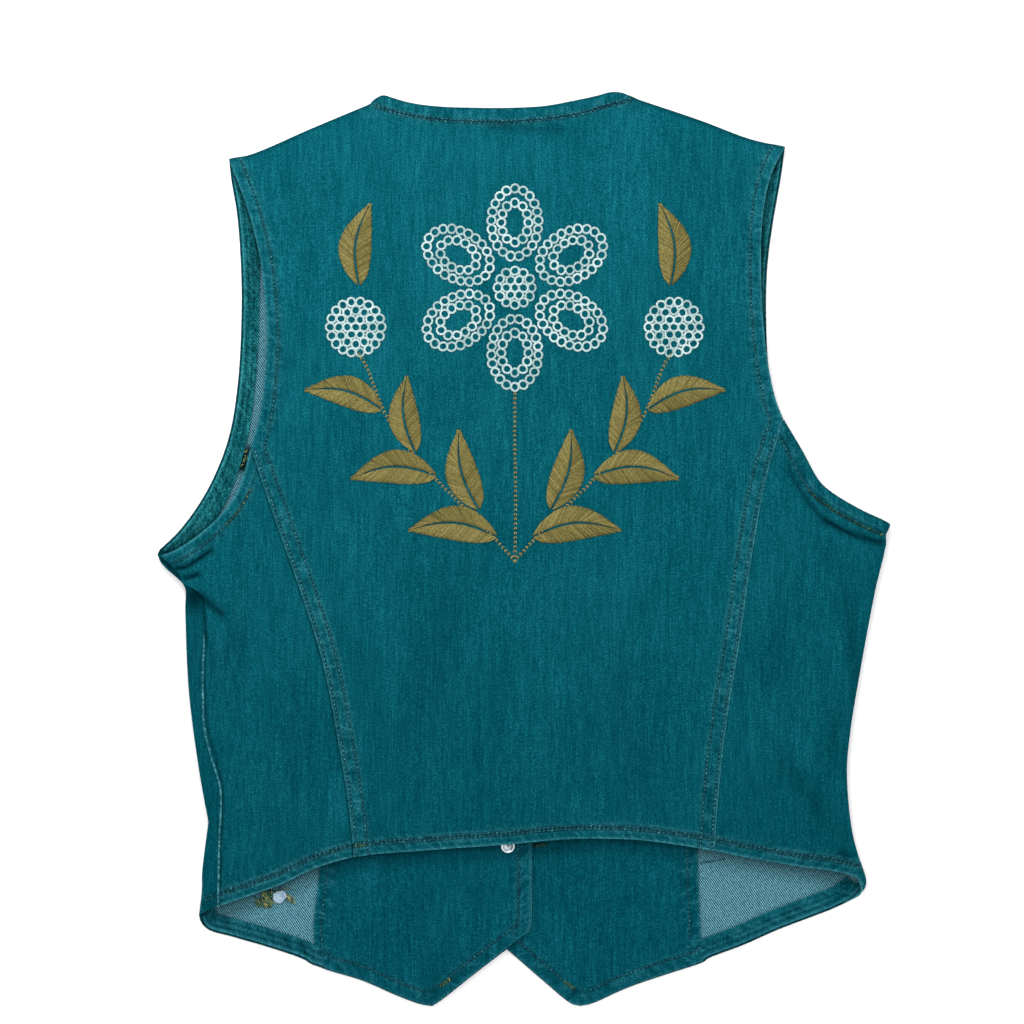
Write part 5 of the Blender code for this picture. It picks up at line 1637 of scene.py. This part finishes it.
def satin_leaf(work, foot, turn, length, bend, seed):
    """A leaf in two satin-stitched halves that meet at its midrib, threads slanting to its tip."""
    chance = np.random.default_rng(seed)
    direction = np.array([math.cos(math.radians(turn)), math.sin(math.radians(turn))])
    aside = np.array([-direction[1], direction[0]])
    count = int(length / SATIN_PITCH)
    start = np.linspace(0.0, 0.93, count)
    end = np.minimum(start + 0.10 + 0.10 * start, 1.0)

    def rib(share):
        return np.outer(share * length, direction) + np.outer(bend * np.sin(math.pi * share), aside)

    def half_width(share):
        return LEAF_WIDTH_SHARE / 2 * length * np.sin(math.pi * share**0.8) ** 0.85

    across = np.linspace(0.0, 1.0, 6)
    for side in (1.0, -1.0):
        near = rib(start) + side * LEAF_SPLIT * aside
        far = rib(end) + np.outer(side * np.maximum(half_width(end), LEAF_SPLIT), aside)
        far = far + chance.normal(0.0, 0.16, far.shape)
        places = near[:, None] * (1 - across)[None, :, None] + far[:, None] * across[None, :, None]
        paths = rest_on("back_centre_panel", places + np.array(foot) + SPRAY_MIDDLE)
        crown = LEAF_CROWN * np.sin(math.pi * (0.12 + 0.76 * across))
        paths[..., 2] += 0.10 + crown + chance.normal(0, 0.05, (count, 1))
        # Painted light: one half of each leaf is painted lighter than the other, standing in for the satin's
        # sheen by thread direction
        tints = np.clip(0.5 + 0.12 * side + chance.normal(0.0, 0.2, count), 0.0, 1.0)
        work.lay(paths, SATIN_RADIUS * np.array([0.7, 1.0, 1.0, 1.0, 1.0, 0.7]), tints, sides=5)


def gold_stitching():
    """Gold leaves and stems of the spray."""
    work = ThreadWork()
    for k, (x, y, turn, length, bend) in enumerate(LEAVES):
        satin_leaf(work, (x, y), turn, length, bend, 40 + k)
        satin_leaf(work, (-x, y), 180.0 - turn, length, -bend, 60 + k)
    mirrored = tuple((-x, y) for x, y in STEM_SIDE)
    for k, stem in enumerate((STEM_MIDDLE, STEM_SIDE, mirrored)):
        line = smooth_line(stem) + SPRAY_MIDDLE
        for strand, side in enumerate((-1, 1)):
            stitch_row(
                work, "back_centre_panel", line, even(0.55), side, (1.0,), 80 + 3 * k + strand, 24.0 * side,
                pitch=STEM_PITCH, length=STEM_STITCH,
            )
    return work


def turned_metal(name, place, low, high, radius, profile, material, uneven=0.0, sides=40):
    """A round metal piece from its profile, its outline uneven where it was hammered."""
    turn = np.arange(sides) * 2 * math.pi / sides
    wobble = 1.0 + uneven * (np.sin(2 * turn + 0.6) + 0.7 * np.sin(3 * turn) + 0.5 * np.sin(5 * turn + 2.0))
    rings, tints = [], []
    for k, (share, rise, shade_and_scuffs) in enumerate(profile):
        dent = uneven * 2.5 * np.sin(3 * turn + k) * rise
        out = share * radius * wobble
        height = low + (rise + dent) * (high - low)
        rings.append(np.stack([place[0] + out * np.cos(turn), place[1] + out * np.sin(turn), height], axis=1))
        # Painted shade from the profile, with painted light and shade by side
        tints.append(shade_and_scuffs + SIDE_SHADE_SHARE * np.cos(turn - SHADED_SIDE_TURN))
    corners = np.concatenate(rings)
    index = np.arange(len(corners)).reshape(len(rings), sides)
    after = np.roll(index, -1, axis=1)
    faces = np.stack([index[:-1], after[:-1], after[1:], index[1:]], axis=-1).reshape(-1, 4).tolist()
    faces += [index[0, ::-1].tolist(), index[-1].tolist()]
    if high < low:
        faces = [face[::-1] for face in faces]
    return new_piece(name, corners, faces, [material], None, {"tint": np.concatenate(tints)}, 60.0)


# Profiles from the foot to the top: share of the radius, share of the height, and painted shade, darkest at
# the foot and in the hollows
STUD_PROFILE = (
    (0.93, 0.0, 0.9), (0.99, 0.15, 0.5), (1.0, 0.45, 0.1), (0.97, 0.80, 0.0), (0.88, 1.0, 0.0),
    (0.78, 0.92, 0.1), (0.70, 0.55, 0.6), (0.60, 0.42, 0.8), (0.46, 0.50, 0.5), (0.30, 0.72, 0.2),
    (0.16, 0.76, 0.7), (0.05, 0.62, 1.0),
)
CAP_PROFILE = (
    (0.93, 0.0, 0.6), (0.99, 0.15, 0.4), (1.0, 0.35, 0.2), (0.96, 0.60, 0.1), (0.84, 0.80, 0.1),
    (0.62, 0.93, 0.1), (0.34, 0.99, 0.1), (0.05, 1.0, 0.1),
)
RIVET_PROFILE = (
    (0.92, 0.0, 0.8), (1.0, 0.25, 0.4), (0.96, 0.55, 0.2), (0.82, 0.78, 0.1), (0.62, 0.86, 0.3),
    (0.50, 0.80, 0.5), (0.40, 0.88, 0.2), (0.05, 1.0, 0.1),
)
RIVET_UNEVEN = 0.07

# Painted light and shade by side: the metal is painted palest on its lower left and darkest on its upper
# right
SIDE_SHADE_SHARE = 0.30
SHADED_SIDE_TURN = math.radians(40.0)


def fastenings():
    """Snap stud backs on the left facing, snap caps under the right front, and the pocket rivet."""
    nickel = plated_metal("nickel_plated_brass", "#bcc6cc", "#39444a", 0.25)
    zinc = plated_metal("zinc_plated_steel", "#9db4c4", "#788c9c", 0.6)
    for k, y in enumerate(SNAP_ROWS_Y, start=1):
        place = (SNAP_X, y)
        base = float(front_left_height(SNAP_X, y)) + FACING_OFFSET + FACING_WALL / 2 + LAYER_GAP
        stud = turned_metal(
            f"snap_stud_back_{k}", place, base, base + SNAP_HEIGHT, SNAP_DIAMETER / 2, STUD_PROFILE, nickel
        )
        stands_for(stud, "snap_metal", f"snap_stud_{k}")
        cap = turned_metal(
            f"snap_outer_cap_{k}", place, CAP_HEIGHT, 0.0, CAP_DIAMETER / 2, CAP_PROFILE, nickel
        )
        stands_for(cap, "snap_metal", f"snap_cap_{k}")
    base = DENIM_WALL + LAYER_GAP
    rivet = turned_metal(
        "pocket_rivet_back", RIVET_PLACE, base, base + RIVET_HEIGHT, RIVET_DIAMETER / 2, RIVET_PROFILE, zinc,
        RIVET_UNEVEN,
    )
    stands_for(rivet, "snap_metal", "pocket_rivet")


# Cloth pieces: solid, slot, and the flat cut of what shows: width, length and area in metres
CLOTH_PIECES = {
    "back_centre_panel": ("back_centre", "denim", 0.366, 0.506, 0.1510),
    "back_side_left_panel": ("back_side_left", "denim", 0.122, 0.306, 0.0205),
    "back_side_right_panel": ("back_side_right", "denim", 0.125, 0.318, 0.0258),
    "front_left_panel": ("front_left", "denim", 0.270, 0.560, 0.1120),
    "front_right_panel": ("front_right", "denim", 0.262, 0.566, 0.1130),
    "front_facing_left_layer": ("front_facing_left", "denim_facing", 0.148, 0.570, 0.0665),
    "front_facing_right_layer": ("front_facing_right", "denim_facing", 0.148, 0.570, 0.0665),
    "front_hem_left_turning": ("front_hem_left", "denim_facing", 0.096, 0.0104, 0.00096),
    "front_hem_right_turning": ("front_hem_right", "denim_facing", 0.122, 0.0119, 0.00140),
    "armhole_left_turning": ("armhole_edge_left", "denim_facing", 0.300, 0.0135, 0.00315),
    "armhole_right_turning": ("armhole_edge_right", "denim_facing", 0.292, 0.0100, 0.00290),
}


def declare_cloth():
    """Let each cloth piece stand for its solid."""
    for name, (node, slot, width, length, area) in CLOTH_PIECES.items():
        thing = stands_for(bpy.data.objects[name], slot, node)


# Light: an even sky and a wide soft light beyond the left shoulder
SKY_STRENGTH = 1.3
SOFTBOX_PLACE = (-0.25, 0.75, 0.7)
SOFTBOX_AIM = (0.0, 0.0, 0.0)
SOFTBOX_SIZE = (0.6, 0.5)
SOFTBOX_WATTS = 6.7


def studio():
    """Pale floor, even sky light, a wide soft light from the neck end, and the camera overhead."""
    half = FLOOR_HALF_WIDTH
    corners = [(x * half, y * half, FLOOR_LEVEL) for x, y in ((-1, -1), (1, -1), (1, 1), (-1, 1))]
    floor = new_piece("studio_floor", corners, [[0, 1, 2, 3]], [pale_floor("matt_white_floor")])
    scene = bpy.context.scene
    scene.view_settings.view_transform = "Standard"
    world = bpy.data.worlds.new("even_sky")
    world.use_nodes = True
    world.node_tree.nodes["Background"].inputs["Color"].default_value = (1.0, 1.0, 1.0, 1.0)
    world.node_tree.nodes["Background"].inputs["Strength"].default_value = SKY_STRENGTH
    scene.world = world
    key = bpy.data.lights.new("left_shoulder_softbox", "AREA")
    key.shape = "RECTANGLE"
    key.size, key.size_y = SOFTBOX_SIZE
    key.energy = SOFTBOX_WATTS
    lamp = bpy.data.objects.new("left_shoulder_softbox", key)
    lamp.location = SOFTBOX_PLACE
    lamp.rotation_mode = "QUATERNION"
    aim = Vector(SOFTBOX_AIM) - lamp.location
    lamp.rotation_quaternion = aim.to_track_quat("-Z", "Y")
    scene.collection.objects.link(lamp)
    lens = bpy.data.cameras.new("overhead_camera")
    lens.lens, lens.sensor_width = LENS_MM, SENSOR_MM
    camera = bpy.data.objects.new("overhead_camera", lens)
    width = PHOTO_PIXELS * MM_PER_PIXEL * METRES_PER_MM
    height = width * LENS_MM / SENSOR_MM + BACK_LEVEL * METRES_PER_MM
    centre_x, centre_y = PHOTO_CENTRE_IN_PLAN
    camera.location = (centre_x * METRES_PER_MM, centre_y * METRES_PER_MM, height)
    lens.clip_end = CLIP_END
    scene.collection.objects.link(camera)
    scene.camera = camera


def main():
    studio()
    # The last colour of each denim is the colour its painted shade mixes towards
    face = twill_denim("overdyed_denim_twill", ("#00313b", "#04454f", "#12606c"), "#3a818c", "#011e25")
    inside = twill_reverse("denim_twill_reverse", ("#0d343f", "#285e6e", "#70a1ad"), "#041d22")
    facing = twill_denim("overdyed_denim_facing", ("#002f39", "#044550", "#125d6b"), "#347985", "#011b22")
    turned = twill_denim(
        "overdyed_denim_turning", ("#00191e", "#074b52", "#24838c"), "#38898f", "#01171a", puckered=0.28
    )
    denim, lining, turning = (face, inside), (facing, facing), (turned, turned)
    back_centre(denim)
    back_side_left(denim)
    back_side_right(denim)
    facing_edge_left = front_left(denim, lining, turning)
    facing_edge_right = front_right(denim, lining, turning)
    declare_cloth()
    fastenings()
    sewing_thread = spun_thread("overdyed_sewing_thread", ("#03303a", "#1c5f6a", "#4b9099"))
    sew_seams(facing_edge_left, facing_edge_right).sew("seam_stitching", sewing_thread, "denim")
    tobacco = spun_thread("tobacco_sewing_thread", ("#0a2a1e", "#436145", "#a09a62"))
    bar_tacks().sew("tack_stitching", tobacco, "denim")
    white = spun_thread("white_embroidery_cotton", ("#8fa9a9", "#a2b9b9", "#b5c8c8"))
    ring_stitching().sew("ring_embroidery", white, "denim")
    gold = spun_thread("gold_embroidery_rayon", ("#544f28", "#6f6738", "#857b4a"))
    gold_stitching().sew("leaf_embroidery", gold, "denim")


main()
